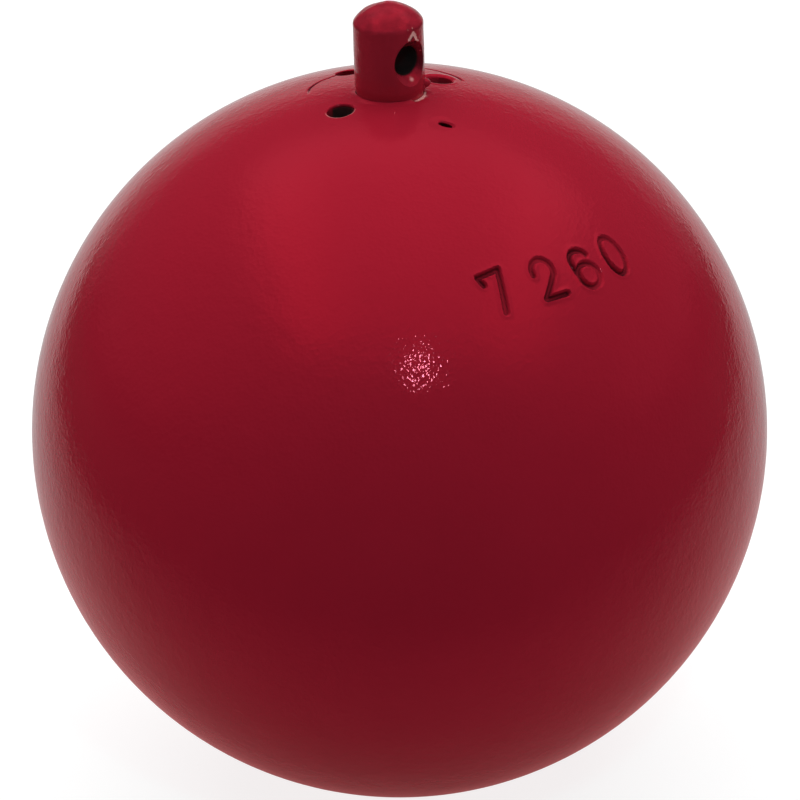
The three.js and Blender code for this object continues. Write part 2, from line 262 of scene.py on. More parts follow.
def angles_on_ball(points):
    rise = points - [0, 0, ball_centre]
    polar = np.degrees(np.arccos(rise[:, 2] / np.linalg.norm(rise, axis=1)))
    return polar, np.degrees(np.arctan2(rise[:, 0], -rise[:, 1]))


def seam_shade(points):
    near, opened = seam_line(*angles_on_ball(points))
    return seam_darkness * opened * near**seam_darkness_fade


def stamp_shade(points):
    """The walls of the digits hold the thickest enamel and the least light, their floors less."""
    polar, azimuth = angles_on_ball(points)
    darkness = np.zeros(len(points))
    shaded_end = stamp_floor_half + stamp_shaded_wall * stamp_wall
    for nearest, bite in digit_marks(polar, azimuth):
        floor = 1 - smooth_step(nearest, 0, stamp_floor_half)
        inside = 1 - smooth_step(nearest, stamp_floor_half, shaded_end)
        darkness = np.maximum(darkness, inside * bite * (1 - (1 - stamp_floor_shade) * floor))
    return darkness


def ball_dip(polar, azimuth):
    return seam_dip(polar, azimuth) + stamp_dip(polar, azimuth)


fine_start, fine_end = stamp_fine_azimuths
ball_azimuths = np.concatenate([
    np.arange(fine_start, fine_end, fine_azimuth_step),
    np.linspace(fine_end, fine_start + 360, coarse_sides, endpoint=False),
])
rim_polar = math.degrees(math.asin(mouth_radius / ball_radius))
seam_rings_end = rim_polar + seam_rings_reach
ball_polars = np.concatenate([
    np.linspace(rim_polar, seam_rings_end, seam_rings, endpoint=False),
    np.linspace(seam_rings_end, stamp_fine_polars[0], upper_rings, endpoint=False),
    np.arange(*stamp_fine_polars, fine_polar_step),
    np.linspace(stamp_fine_polars[1], 180, lower_rings)[:-1],
])
chamber_profile = [
    *[(chamber_radius * share, chamber_floor) for share in floor_rings],
    *arc(
        chamber_radius - chamber_fillet, chamber_floor + chamber_fillet, chamber_fillet, -90, 0, 6
    ),
    (chamber_radius, ledge_height - casting_edge),
    (chamber_radius + casting_edge, ledge_height),
    (mouth_radius, ledge_height),
]
inner = rings_of(chamber_profile, len(ball_azimuths))
outer = rings_on_ball(ball_polars, ball_azimuths, ball_dip)
ball = skin(
    "enamelled_ball",
    *stacked(inner, outer),
    ball_azimuths,
    tips=(chamber_floor, ball_centre - ball_radius),
)

# The two holes on the seam: drilled through the joint of plug and ball and tapped for the
# grub screws that keep the plug from unscrewing. Their lips are rounded by the enamel.
lock_azimuths = (-150, 36)
lock_hole_radius = 2.1 * mm
lock_hole_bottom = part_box("lock_screw_1")[0].z - 0.3 * mm
lip_radius = 0.35 * mm
tool_overrun = 3 * mm
film_dip = 0.15 * mm
film_thickness = 0.35 * mm
slit_size = (1.2 * mm, 0.62 * mm)
slit_flare = 0.45
slit_place = (0.6 * mm, -0.4 * mm)
slit_turn = -60
dish_middle = -88
tool_sides = 48
flare_sides = 72
sliver = 0.01 * mm


def turned(name, profile, sides, tips=True):
    """A plain turned piece: from tip to tip, or a closed ring of points."""
    body = profile[1:-1] if tips else profile
    radius, height = rings_of(body, sides)
    ends = (profile[0][1], profile[-1][1]) if tips else None
    return skin(name, radius, height, np.arange(sides) * 360 / sides, ends)


def cylinder(name, radius, top, bottom, sides=tool_sides):
    return turned(name, [(0, top), (radius, top), (radius, bottom), (0, bottom)], sides)


def spin(angle, axis="Z"):
    return Matrix.Rotation(math.radians(angle), 4, axis)


def square_to_ball(azimuth, pitch):
    """Turns a tool that stands on the origin out along the ball's radius, through the pitch."""
    tilt = Matrix.Rotation(math.asin(pitch / ball_radius), 4, "X")
    return spin(azimuth) @ Matrix.Translation((0, 0, ball_centre)) @ tilt


def hole_tools(radius, bottom, pitch, azimuth, lip=lip_radius, bead=0):
    """A straight drill, and a flared one square to the ball's surface that rounds the lip."""
    drill = cylinder("drill", radius, ball_centre + ball_radius + tool_overrun, bottom)
    drill.matrix_world = spin(azimuth) @ Matrix.Translation((0, -pitch, 0))
    flare_radius = radius + lip
    sag = flare_radius**2 / (2 * ball_radius)
    top = ball_radius - sag + bead
    flare = turned("flare", [
        (0, top + tool_overrun),
        (flare_radius + lip, top + tool_overrun),
        (flare_radius + lip, top + sliver),
        *arc(flare_radius, top - lip, lip, 90, 180, 8),
        (radius, top - 2 * lip),
        (0, top - 2 * lip),
    ], flare_sides)
    flare.matrix_world = square_to_ball(azimuth, pitch)
    return [drill, flare]


def film_tools(radius, bottom, pitch, azimuth):
    """The same hole where the enamel has closed over it, but for a slit in a shallow dish."""
    top = ball_radius - radius**2 / (2 * ball_radius)
    bend = (radius**2 + film_dip**2) / (2 * film_dip)
    cap = math.degrees(math.asin(radius / bend))
    under_film = ball_radius - film_dip - film_thickness
    deep = turned("deep", [
        (0, under_film),
        (radius - film_thickness, under_film),
        (radius, under_film - film_thickness),
        (radius, bottom - ball_centre - film_thickness),
        (0, bottom - ball_centre - film_thickness),
    ], tool_sides)
    dish = turned("dish", [
        (0, top + tool_overrun),
        (radius, top + tool_overrun),
        *arc(0, top - film_dip + bend, bend, cap - 90, dish_middle, 8),
        (0, top - film_dip),
    ], tool_sides)
    slit = turned("slit", [
        (0, top + tool_overrun),
        (1 + slit_flare, top + tool_overrun),
        (1 + slit_flare, top),
        (1, top - film_dip - film_thickness / 2),
        (1, under_film - film_thickness),
        (0, under_film - film_thickness),
    ], tool_sides)
    square = square_to_ball(azimuth, pitch)
    for tool in (deep, dish, slit):
        tool.matrix_world = square
    across = Matrix.Diagonal((*slit_size, 1, 1))
    slit.matrix_world = square @ Matrix.Translation((*slit_place, 0)) @ spin(slit_turn) @ across
    return [deep, dish, slit]


def carve(piece, tools, operation="DIFFERENCE"):
    """Cuts each tool out of the piece, one after the other, and throws the tools away."""
    bpy.context.view_layer.update()
    for tool in tools:
        cut = piece.modifiers.new("cut", "BOOLEAN")
        cut.operation = operation
        cut.solver = "EXACT"
        cut.object = tool
        cut_piece = piece.evaluated_get(bpy.context.evaluated_depsgraph_get())
        result = bpy.data.meshes.new_from_object(cut_piece)
        piece.modifiers.clear()
        piece.data = result
        bpy.data.objects.remove(tool)


def shade(piece, sharp_angle=32):
    piece.data.shade_smooth()
    piece.data.set_sharp_from_angle(angle=math.radians(sharp_angle))


def mark(piece, name, measure):
    """Stores a number from 0 to 1 at each point of the piece, worked out from its place."""
    points = np.empty(len(piece.data.vertices) * 3)
    piece.data.vertices.foreach_get("co", points)
    values = np.clip(measure(points.reshape(-1, 3)), 0, 1)
    piece.data.attributes.new(name, "FLOAT", "POINT").data.foreach_set("value", values)


def depth_under_ball(points):
    return ball_radius - np.linalg.norm(points - [0, 0, ball_centre], axis=1)


bare_and_shaded_from_depth = (1.0 * mm, 2.0 * mm)
pool_and_shade_from_depth = (stamp_depth * 1.35, 2 * stamp_depth)


def pool_and_shade(points):
    """Grows with the depth under the ball's surface, where enamel pools and light is scarce: pooled
    enamel and painted shade, also in the seam and the digits.
    """
    deep = smooth_step(depth_under_ball(points), *pool_and_shade_from_depth)
    return np.maximum(deep, np.maximum(stamp_shade(points), seam_shade(points)))


def bare_and_shaded(points):
    """No enamel reached these places: the iron or steel shows, painted near black as shade deep
    under the surface.
    """
    return smooth_step(depth_under_ball(points), *bare_and_shaded_from_depth)


def drill_lock_holes(piece):
    open_azimuth, filmed_azimuth = lock_azimuths
    hole = (lock_hole_radius, lock_hole_bottom, plug_radius)
    carve(piece, hole_tools(*hole, open_azimuth))
    carve(piece, film_tools(*hole, filmed_azimuth))


drill_lock_holes(ball)
mark(ball, "pool_and_shade", pool_and_shade)
mark(ball, "bare_and_shaded", bare_and_shaded)
shade(ball)

# The enamel: a thick glossy red coat, sprayed over primer, with orange peel in it and slow
# waves from the rough casting below. It darkens where it pools, with painted shade in the hollows,
# ends at bare steel painted near black as shade deep in the holes, and shows pale primer or a
# painted highlight in a few marks.
enamel_red = (0.345, 0.0102, 0.025, 1)
enamel_light = (0.375, 0.0112, 0.028, 1)
enamel_flake = 0.1
peel_across = 0.55 * mm
peel_height = 0.024 * mm
enamel_cloud = 14 * mm
enamel_cloud_detail = 3
cloud_middle = (0.3, 0.7)
enamel_roughness = (0.04, 0.09)
enamel_waves = [(9 * mm, 0.12 * mm, 1), (1.6 * mm, 0.05 * mm, 1)]
pool_and_shade_from = 0.3
pool_and_shade_share = 0.92
# Pooled enamel, also used as painted shade in hollows, seams and digits
pooled_enamel_shade = (0.045, 0.006, 0.01, 1)
enamel_gloss_tint = (1, 0.1, 0.12, 1)
enamel_ior = 1.5
# Bare steel, painted near black as shade deep in the holes
shaded_bare_steel = (0.045, 0.04, 0.038, 1)
bare_metallic = 0.7
bare_roughness = 0.5
# Pale primer where the enamel broke, also used for painted highlights
primer_and_highlight_pale = (0.85, 0.38, 0.36, 1)


def node(tree, kind, sockets, out=0, **settings):
    """Adds a shader node, sets or links its sockets and returns one of its outputs."""
    made = tree.nodes.new("ShaderNode" + kind)
    for key, value in settings.items():
        setattr(made, key, value)
    for key, value in sockets.items():
        if isinstance(value, bpy.types.NodeSocket):
            tree.links.new(value, made.inputs[key])
        else:
            made.inputs[key].default_value = value
    return made.outputs[out]


def maths(tree, operation, *values):
    return node(tree, "Math", dict(enumerate(values)), operation=operation)


def stored(tree, name):
    """The number that mark() stored under this name."""
    return node(tree, "Attribute", {}, "Fac", attribute_name=name)


def mix(tree, factor, first, second):
    return node(tree, "Mix", {0: factor, 6: first, 7: second}, 2, data_type="RGBA")


def scaled(tree, value, low, high, new_low, new_high):
    ranges = {"Value": value, "From Min": low, "From Max": high}
    ranges.update({"To Min": new_low, "To Max": new_high})
    return node(tree, "MapRange", ranges)


def noise_cloud(tree, place, across, detail):
    return node(tree, "TexNoise", {"Vector": place, "Scale": 1 / across, "Detail": detail})


def spread_cloud(tree, cloud, low, high):
    """Spreads the middle of a cloud, where nearly all of it lies, from low to high."""
    return scaled(tree, cloud, *cloud_middle, low, high)


def raised(tree, height, texture, normal=None):
    sockets = {"Strength": 1, "Distance": height, "Height": texture}
    if normal:
        sockets["Normal"] = normal
    return node(tree, "Bump", sockets)


def bumps(tree, place, layers):
    """Stacks noise bumps, each given as its size across, its height and its detail."""
    normal = None
    for across, height, detail in layers:
        normal = raised(tree, height, noise_cloud(tree, place, across, detail), normal)
    return normal


def orange_peel(tree, place, normal):
    """Small round dimples side by side, each of which mirrors a lamp once."""
    cell = node(tree, "TexVoronoi", {"Vector": place, "Scale": 1 / peel_across}, "Distance")
    dimple = maths(tree, "POWER", cell, 2.0)
    return raised(tree, peel_height, dimple, normal)


def new_finish(name):
    material = bpy.data.materials.new(name)
    material.use_nodes = True
    tree = material.node_tree
    place = node(tree, "TexCoord", {}, "Object")
    return material, tree, place, tree.nodes["Principled BSDF"].inputs


def red_enamel(name, dark=enamel_red, light=enamel_light):
    material, tree, place, surface = new_finish(name)
    cloud = noise_cloud(tree, place, enamel_cloud, enamel_cloud_detail)
    colour = mix(tree, cloud, dark, light)
    # Darker where the enamel pools, with painted shade in hollows, seams and digits
    pooled_and_shaded = scaled(tree, stored(tree, "pool_and_shade"), pool_and_shade_from, 1, 0, pool_and_shade_share)
    colour = mix(tree, pooled_and_shaded, colour, pooled_enamel_shade)
    # Pale primer at the chip, and painted highlights
    colour = mix(tree, stored(tree, "chip_and_highlight"), colour, primer_and_highlight_pale)
    # Bare steel, painted near black as shade deep in the holes
    bare_and_shaded_share = stored(tree, "bare_and_shaded")
    colour = mix(tree, bare_and_shaded_share, colour, shaded_bare_steel)
    tree.links.new(colour, surface["Base Color"])
    metallic = scaled(tree, bare_and_shaded_share, 0, 1, enamel_flake, bare_metallic)
    tree.links.new(metallic, surface["Metallic"])
    roughness = spread_cloud(tree, cloud, *enamel_roughness)
    roughness = scaled(tree, bare_and_shaded_share, 0, 1, roughness, bare_roughness)
    tree.links.new(roughness, surface["Roughness"])
    surface["IOR"].default_value = enamel_ior
    surface["Specular Tint"].default_value = enamel_gloss_tint
    waves = bumps(tree, place, enamel_waves)
    tree.links.new(orange_peel(tree, place, waves), surface["Normal"])
    return material


ball_enamel = red_enamel("ball enamel")
ball.data.materials.append(ball_enamel)
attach(ball, "head")
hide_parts("ball_body")

# The plug: a steel disc screwed flush into the ball. It carries the upper washer of the
# bearing in a recess and the dust seal in a groove, and two blind holes take a pin spanner.
plug_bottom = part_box("swivel_plug")[0].z
stub_radius = 5.5 * mm
plug_lip_radius = stub_radius + 0.06 * mm
plug_bore_radius = stub_radius + 0.3 * mm
plug_lip_height = 0.3 * mm
plug_lip_low_height = 0.06 * mm
chipped_lip_height = -0.2 * mm
plug_lip_width = 0.7 * mm
plug_lip_front = (60, 100)
plug_lip_foot = ball_centre + ball_radius - 0.9 * mm
chip_middle = 60.5
chip_dip_ends = (16, 26)
shank_bore_radius = 5.3 * mm
recess_ceiling = plug_bottom + 1.5 * mm
seal_centre = (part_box("dust_seal")[0].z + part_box("dust_seal")[1].z) / 2
seal_groove_half = 1.3 * mm
seal_groove_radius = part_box("dust_seal")[1].x + 0.3 * mm
plug_step = seal_centre - 2.3 * mm
spanner_holes = [(-53, 0.35 * mm, 0), (127, 0.7 * mm, 0.06 * mm)]
spanner_pitch = 10.0 * mm
spanner_hole_radius = 2.15 * mm
spanner_hole_depth = 4 * mm
bead_width = 0.35 * mm
plug_edge = 0.3 * mm
plug_sides = 360
plug_rings = 90


def plug_dip(polar, azimuth):
    """The groove at the seam, and the beads of enamel round the spindle and the right hole."""
    across = np.sin(np.radians(polar)) * ball_radius
    from_lip = across - plug_lip_radius
    from_chip = np.abs(turn_from(azimuth, chip_middle))
    broken = 1 - smooth_step(from_chip, *chip_dip_ends)
    in_front = 1 - smooth_step(np.abs(turn_from(azimuth, 0)), *plug_lip_front)
    bead = plug_lip_low_height + (plug_lip_height - plug_lip_low_height) * in_front
    bead += (chipped_lip_height - bead) * broken
    bead = bead * np.exp(-((from_lip / plug_lip_width) ** 2))
    for hole_azimuth, lip, bead_height in spanner_holes:
        turn = np.radians(azimuth - hole_azimuth)
        from_hole = np.hypot(across * np.cos(turn) - spanner_pitch, across * np.sin(turn))
        from_crest = np.maximum(0, from_hole - spanner_hole_radius - lip)
        bead = bead + bead_height * np.exp(-((from_crest / bead_width) ** 2))
    return seam_dip(polar, azimuth) - bead


def azimuths_of(sides):
    return np.arange(sides) * (360 / sides)


plug_azimuths = azimuths_of(plug_sides)
lip_polar = math.degrees(math.asin(plug_lip_radius / ball_radius))
plug_polars = np.linspace(lip_polar, seam_polar, plug_rings)
crown = rings_on_ball(plug_polars, plug_azimuths, plug_dip)
plug_profile = [
    (plug_radius, plug_bottom + plug_edge),
    (plug_radius - plug_edge, plug_bottom),
    (chamber_radius + plug_edge, plug_bottom),
    (chamber_radius, plug_bottom + plug_edge),
    (chamber_radius, recess_ceiling),
    (shank_bore_radius, recess_ceiling),
    (shank_bore_radius, plug_step),
    (plug_bore_radius, plug_step),
    (plug_bore_radius, seal_centre - seal_groove_half),
    (seal_groove_radius, seal_centre - seal_groove_half),
    (seal_groove_radius, seal_centre + seal_groove_half),
    (plug_bore_radius, seal_centre + seal_groove_half),
    (plug_bore_radius, plug_lip_foot),
    (plug_lip_radius, plug_lip_foot + plug_edge),
]
below = rings_of(plug_profile, plug_sides)
plug = skin("enamelled_plug", *stacked(crown, below), plug_azimuths)
drill_lock_holes(plug)
spanner_hole_top = ball_centre + math.sqrt(ball_radius**2 - spanner_pitch**2)
spanner_hole_bottom = spanner_hole_top - spanner_hole_depth
for azimuth, lip, bead_height in spanner_holes:
    carve(plug, hole_tools(
        spanner_hole_radius, spanner_hole_bottom, spanner_pitch, azimuth, lip, bead_height
    ))

chip_radii = (plug_lip_radius + 0.15 * mm, plug_lip_radius + 0.75 * mm)
chip_starts = (33, 45)
chip_ends = (78, 86)
chip_broadest_at = 54
chip_narrows_over = 30
chip_blur = (-0.1 * mm, 0.15 * mm)
chip_depth = 0.5 * mm
chip_grain = 0.8 * mm
chip_raggedness = 0.3 * mm
# A painted highlight along the front lip of the left spanner hole
lip_highlight_share = 0.55
lip_highlight_front = (-0.2 * mm, 1.2 * mm)
lip_highlight_raggedness = 0.06 * mm
lip_highlight_sharp = 0.02 * mm
lip_highlight_radius = spanner_hole_radius + 0.22 * mm
lip_highlight_half = 0.14 * mm


def raggedness(points, across):
    """Noise of that size at each point, from about -0.7 to 0.7."""
    return np.array([noise.noise(Vector(point) / across) for point in points])


def chip_and_highlight(points):
    """Pale marks: where the enamel broke away from the bead beside the spindle, and a painted
    highlight along one hole's front lip.
    """
    azimuth = np.degrees(np.arctan2(points[:, 0], -points[:, 1]))
    radius = np.hypot(points[:, 0], points[:, 1])
    ragged = raggedness(points, chip_grain)
    along = smooth_step(azimuth, *chip_starts) * (1 - smooth_step(azimuth, *chip_ends))
    broad = 1 - np.clip(np.abs(azimuth - chip_broadest_at) / chip_narrows_over, 0, 1)
    narrow, wide = chip_radii
    edge = narrow + (wide - narrow) * broad + chip_raggedness * ragged
    across = 1 - smooth_step(radius, edge + chip_blur[0], edge + chip_blur[1])
    broken = along * across * (depth_under_ball(points) < chip_depth)
    turn = math.radians(spanner_holes[0][0])
    from_hole = points[:, :2] - np.array([math.sin(turn), -math.cos(turn)]) * spanner_pitch
    gap = np.linalg.norm(from_hole, axis=1) - lip_highlight_radius
    gap = np.abs(gap + lip_highlight_raggedness * ragged)
    marked = 1 - smooth_step(gap, lip_highlight_sharp, lip_highlight_half)
    marked *= lip_highlight_share * smooth_step(-from_hole[:, 1], *lip_highlight_front)
    return np.maximum(broken, marked)


# Pooled enamel and painted shade grow with depth in the plug's holes, sooner on the left than on
# the right
red_wall_depths = (1.2 * mm, 6.0 * mm)
bare_from_depth_left = (0.35 * mm, 0.9 * mm)
bare_from_depth_right = (2.2 * mm, 3.8 * mm)


def plug_pool_and_shade(points):
    deep = depth_under_ball(points) / np.where(points[:, 0] < 0, *red_wall_depths)
    return np.maximum(deep, seam_shade(points))


def plug_bare_and_shaded(points):
    """Bare steel painted near black as shade in the holes, from a shallower depth in those on the
    left than in those on the right.
    """
    depth = depth_under_ball(points)
    left_share = smooth_step(depth, *bare_from_depth_left)
    right_share = smooth_step(depth, *bare_from_depth_right)
    return np.where(points[:, 0] < 0, left_share, right_share)


mark(plug, "pool_and_shade", plug_pool_and_shade)
mark(plug, "bare_and_shaded", plug_bare_and_shaded)
mark(plug, "chip_and_highlight", chip_and_highlight)
shade(plug)
plug.data.materials.append(ball_enamel)
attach(plug, "head")
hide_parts("swivel_plug")

# The dust seal: a moulded ring of black rubber that keeps grit out of the bearing. It sits in
# the plug's groove and wipes the spindle, and the mould left a thin seam round its waist.
seal_low, seal_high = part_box("dust_seal")
seal_wire = (seal_high.z - seal_low.z) / 2
seal_ring = seal_high.x - seal_wire
seal_flash = 0.03 * mm
rubber_black = (0.016, 0.016, 0.017, 1)
rubber_grey = (0.034, 0.033, 0.032, 1)
seal_sides = 96
seal_corner_step = 12
rubber_cloud = 1.8 * mm
rubber_cloud_detail = 4
rubber_roughness = (0.5, 0.75)
rubber_grain = [(0.5 * mm, 0.02 * mm, 2), (0.12 * mm, 0.006 * mm, 1)]


def black_rubber(name):
    material, tree, place, surface = new_finish(name)
    cloud = noise_cloud(tree, place, rubber_cloud, rubber_cloud_detail)
    tree.links.new(mix(tree, cloud, rubber_black, rubber_grey), surface["Base Color"])
    tree.links.new(spread_cloud(tree, cloud, *rubber_roughness), surface["Roughness"])
    tree.links.new(bumps(tree, place, rubber_grain), surface["Normal"])
    return material


seal_profile = []
for angle in range(0, 360, seal_corner_step):
    wire = seal_wire + (seal_flash if angle % 180 == 0 else 0)
    across = seal_ring + wire * math.cos(math.radians(angle))
    seal_profile.append((across, seal_centre + wire * math.sin(math.radians(angle))))
seal = turned("rubber_dust_seal", seal_profile, seal_sides, tips=False)
shade(seal, 60)
seal.data.materials.append(black_rubber("moulded rubber"))
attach(seal, "head")
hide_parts("dust_seal")

# The thrust bearing: two hardened steel washers, ground with a groove each, and nine polished
# balls held apart by a flat cage punched from sheet. Grease left it slightly clouded.
ball_count = 9
pitch_plane = frame["record"]["behaviour"]["joints"][1]["pos_m"][2]
shank_radius = 5.0 * mm
bearing_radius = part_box("housing_washer")[1].x
race_pitch = (shank_radius + bearing_radius) / 2
running_gap = 0.3 * mm
bearing_ball_share = 0.34
bearing_ball_radius = bearing_ball_share * (bearing_radius - shank_radius)
groove_radius = bearing_ball_radius + running_gap
shaft_bore = shank_radius + running_gap
housing_bore = shank_radius + 0.5 * mm
washer_edge = 0.4 * mm
cage_edge = 0.15 * mm
pocket_radius = bearing_ball_radius + 0.25 * mm
bearing_steel_light = (0.66, 0.66, 0.67, 1)
bearing_steel_dark = (0.52, 0.52, 0.54, 1)
sheet_light = (0.46, 0.455, 0.44, 1)
sheet_dark = (0.33, 0.325, 0.32, 1)
bearing_sides = 144
pocket_sides = 64
rolling_sides = 48
metal_cloud = 3 * mm
metal_cloud_detail = 4
metal_grain = 0.8 * mm
grain_height = 0.006 * mm
ring_height = 0.004 * mm
ring_wander = 0.4
ground_roughness = (0.16, 0.3)
ground_rings = 0.25 * mm
sheet_roughness = (0.3, 0.5)
sheet_grain = 0.4 * mm
polished_roughness = (0.06, 0.14)


def turned_metal(name, dark, light, roughness, ring_marks=0.0, grain=metal_grain):
    """Metal with cloudy tone and gloss, fine grain, and rings from the lathe where it has any."""
    material, tree, place, surface = new_finish(name)
    cloud = noise_cloud(tree, place, metal_cloud, metal_cloud_detail)
    tree.links.new(mix(tree, cloud, dark, light), surface["Base Color"])
    tree.links.new(spread_cloud(tree, cloud, *roughness), surface["Roughness"])
    surface["Metallic"].default_value = 1
    normal = bumps(tree, place, [(grain, grain_height, 3)])
    if ring_marks:
        rings = node(
            tree, "TexWave",
            {"Vector": place, "Scale": 0.3 / ring_marks, "Distortion": ring_wander}, 1,
            wave_type="RINGS", rings_direction="Z",
        )
        normal = raised(tree, ring_height, rings, normal)
    tree.links.new(normal, surface["Normal"])
    return material


def race_washer(name, bore, facing):
    """A grooved washer above the plane of the balls, or below it where facing is -1."""
    low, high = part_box(name)
    near, far = (low.z, high.z) if facing > 0 else (high.z, low.z)
    reach = abs(near - pitch_plane)
    start = math.degrees(math.asin(reach / groove_radius))
    profile = [
        (bearing_radius, near + facing * washer_edge),
        (bearing_radius, far - facing * washer_edge),
        (bearing_radius - washer_edge, far),
        (bore + washer_edge / 2, far),
        (bore, far - facing * washer_edge / 2),
        (bore, near + facing * washer_edge / 2),
        (bore + washer_edge / 2, near),
    ]
    groove = arc(race_pitch, 0, groove_radius, 180 - start, start, 24)
    profile += [(across, pitch_plane + facing * rise) for across, rise in groove]
    profile.append((bearing_radius - washer_edge, near))
    return turned("ground_" + name, profile, bearing_sides, tips=False)


ground_steel = turned_metal(
    "ground steel", bearing_steel_dark, bearing_steel_light, ground_roughness, ground_rings
)
for name, bore, facing, body in (
    ("housing_washer", housing_bore, 1, "head"),
    ("shaft_washer", shaft_bore, -1, "spindle"),
):
    washer = race_washer(name, bore, facing)
    shade(washer, 25)
    washer.data.materials.append(ground_steel)
    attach(washer, body)
    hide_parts(name)

cage_low, cage_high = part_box("bearing_cage")
cage = turned("punched_cage", [
    (cage_high.x, cage_low.z + cage_edge),
    (cage_high.x, cage_high.z - cage_edge),
    (cage_high.x - cage_edge, cage_high.z),
    (shaft_bore + cage_edge, cage_high.z),
    (shaft_bore, cage_high.z - cage_edge),
    (shaft_bore, cage_low.z + cage_edge),
    (shaft_bore + cage_edge, cage_low.z),
    (cage_high.x - cage_edge, cage_low.z),
], bearing_sides, tips=False)
pockets = []
pocket_ends = (cage_high.z + tool_overrun, cage_low.z - tool_overrun)
for place in range(ball_count):
    pocket = cylinder("pocket", pocket_radius, *pocket_ends, pocket_sides)
    around = spin(360 * place / ball_count)
    pocket.matrix_world = around @ Matrix.Translation((0, -race_pitch, 0))
    pockets.append(pocket)
carve(cage, pockets)
shade(cage, 30)
punched_sheet = turned_metal(
    "punched sheet", sheet_dark, sheet_light, sheet_roughness, grain=sheet_grain
)
cage.data.materials.append(punched_sheet)
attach(cage, "cage")
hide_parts("bearing_cage")

polished_steel = turned_metal(
    "polished steel", bearing_steel_dark, bearing_steel_light, polished_roughness
)
for place in range(ball_count):
    rolling_ball = turned(
        f"polished_ball_{place + 1}", arc(0, 0, bearing_ball_radius, 90, -90, 24), rolling_sides
    )
    turn = 2 * math.pi * place / ball_count
    spot = (race_pitch * math.sin(turn), -race_pitch * math.cos(turn), pitch_plane)
    rolling_ball.data.transform(Matrix.Translation(spot))
    shade(rolling_ball, 60)
    rolling_ball.data.materials.append(polished_steel)
    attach(rolling_ball, f"ball_{place + 1}")
    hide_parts(f"bearing_ball_{place + 1}")

# The spindle: turned from steel, domed, cross drilled and countersunk for the wire, and
# dipped in the enamel, which is lumpy on its dome. The nut's thread is cut on its tail.
spindle_low, spindle_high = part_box("spindle")
dome_rise = 2.75 * mm
dome_radius = (stub_radius**2 + dome_rise**2) / (2 * dome_rise)
dome_fillet = 1.0 * mm
dome_tip_angle = 89
dome_steps = 40
fillet_steps = 8
tail_radius = 4.7 * mm
nut_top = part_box("castle_nut")[1].z
spindle_shoulder = plug_step + running_gap
shoulder_chamfer = 0.2 * mm
pole = ball_centre + ball_radius
dome_foot = spindle_high.z - dome_rise
side_foot = pole - 1.5 * mm
side_rings = 90
thread_top = nut_top - 0.15 * mm
thread_pitch = 1.5 * mm
thread_depth = 0.55 * mm
thread_flank = (0.1, 0.9)
thread_rings_per_turn = 10
thread_run_out = 1.2 * mm
tail_chamfer = 1.0 * mm
eye_radius = 2.4 * mm
eye_sink_radius = 3.95 * mm
eye_azimuth = 41
pin_wire = 1.1 * mm
pin_leg_gap = 0.15 * mm
pin_hole_radius = pin_wire + pin_leg_gap / 2 + running_gap
pin_rise = 1.5 * mm
pin_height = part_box("castle_nut")[0].z + pin_rise
spindle_azimuths = azimuths_of(288)
coat = 0.15 * mm
dome_coat = 0.3 * mm


def spindle_outline():
    """The painted stub's profile from the top of its dome down to the shoulder."""
    dome_centre = spindle_high.z - dome_radius
    fillet_radius = stub_radius - dome_fillet
    fillet_rise = math.sqrt((dome_radius - dome_fillet) ** 2 - fillet_radius**2)
    fillet_angle = math.degrees(math.atan2(fillet_rise, fillet_radius))
    fillet_height = dome_centre + fillet_rise
    side = np.linspace(fillet_height, side_foot, side_rings)[1:]
    return [
        *arc(0, dome_centre, dome_radius, dome_tip_angle, fillet_angle, dome_steps)[:-1],
        *arc(fillet_radius, fillet_height, dome_fillet, fillet_angle, 0, fillet_steps),
        *[(stub_radius, height) for height in side],
        (stub_radius, spindle_shoulder + shoulder_chamfer),
        (stub_radius - shoulder_chamfer, spindle_shoulder),
        (shank_radius, spindle_shoulder),
        (shank_radius, nut_top + running_gap),
        (tail_radius, nut_top),
    ]


def thread_rings(top, bottom, radius, pitch, depth, azimuths, run_out=0, chamfer=0):
    """Rings of a helical thread, which runs out at its top and is chamfered at its foot."""
    steps = np.arange(top, bottom, -pitch / thread_rings_per_turn)
    height, azimuth = np.meshgrid(steps, azimuths, indexing="ij")
    turn = ((height / pitch + azimuth / 360) % 1) * 2
    flank = smooth_step(1 - np.abs(turn - 1), *thread_flank)
    if run_out:
        flank *= np.minimum(1, (top - height) / run_out)
    slope = np.maximum(0, bottom + chamfer - height)
    return radius - np.maximum(depth * flank, slope), height


upper = rings_of(spindle_outline(), len(spindle_azimuths))
thread = thread_rings(
    thread_top, spindle_low.z, tail_radius, thread_pitch, thread_depth, spindle_azimuths,
    thread_run_out, tail_chamfer,
)
end = rings_of([(tail_radius - tail_chamfer, spindle_low.z)], len(spindle_azimuths))
spindle = skin(
    "enamelled_spindle",
    *stacked(upper, thread, end),
    spindle_azimuths,
    tips=(spindle_high.z, spindle_low.z),
)

lump_across = 2.6 * mm
lump_height = 0.13 * mm
small_lump_across = lump_across / 2.7
small_lump_share = 0.4
side_lump_share = 0.25
coat_fades_over = 1.5 * mm
drop_roundness = 0.6
drops = [
    (86, pole + 1.15 * mm, 0.75 * mm, 0.95 * mm),
    (78, pole + 0.5 * mm, 0.5 * mm, 0.25 * mm),
    (44, 5.9 * mm, 0.3 * mm, 0.1 * mm),
]
# A streak above the eye, painted as a highlight and sunk a little, as azimuths and heights along it
highlight_streak = [(36.2, 4.1 * mm), (44.6, 5.1 * mm), (55.4, 3.4 * mm)]
highlight_streak_half = 0.3 * mm
worn_sinks_within = (0.5 * highlight_streak_half, 1.5 * highlight_streak_half)
worn_depth = 0.1 * mm


def from_streak(points, below=0):
    """Each point's distance from the highlight streak, or from the same line shifted down."""
    around = np.arctan2(points[:, 0], -points[:, 1]) * stub_radius
    line = [(math.radians(turn) * stub_radius, height - below) for turn, height in highlight_streak]
    return stroke_distance(around, points[:, 2], line)


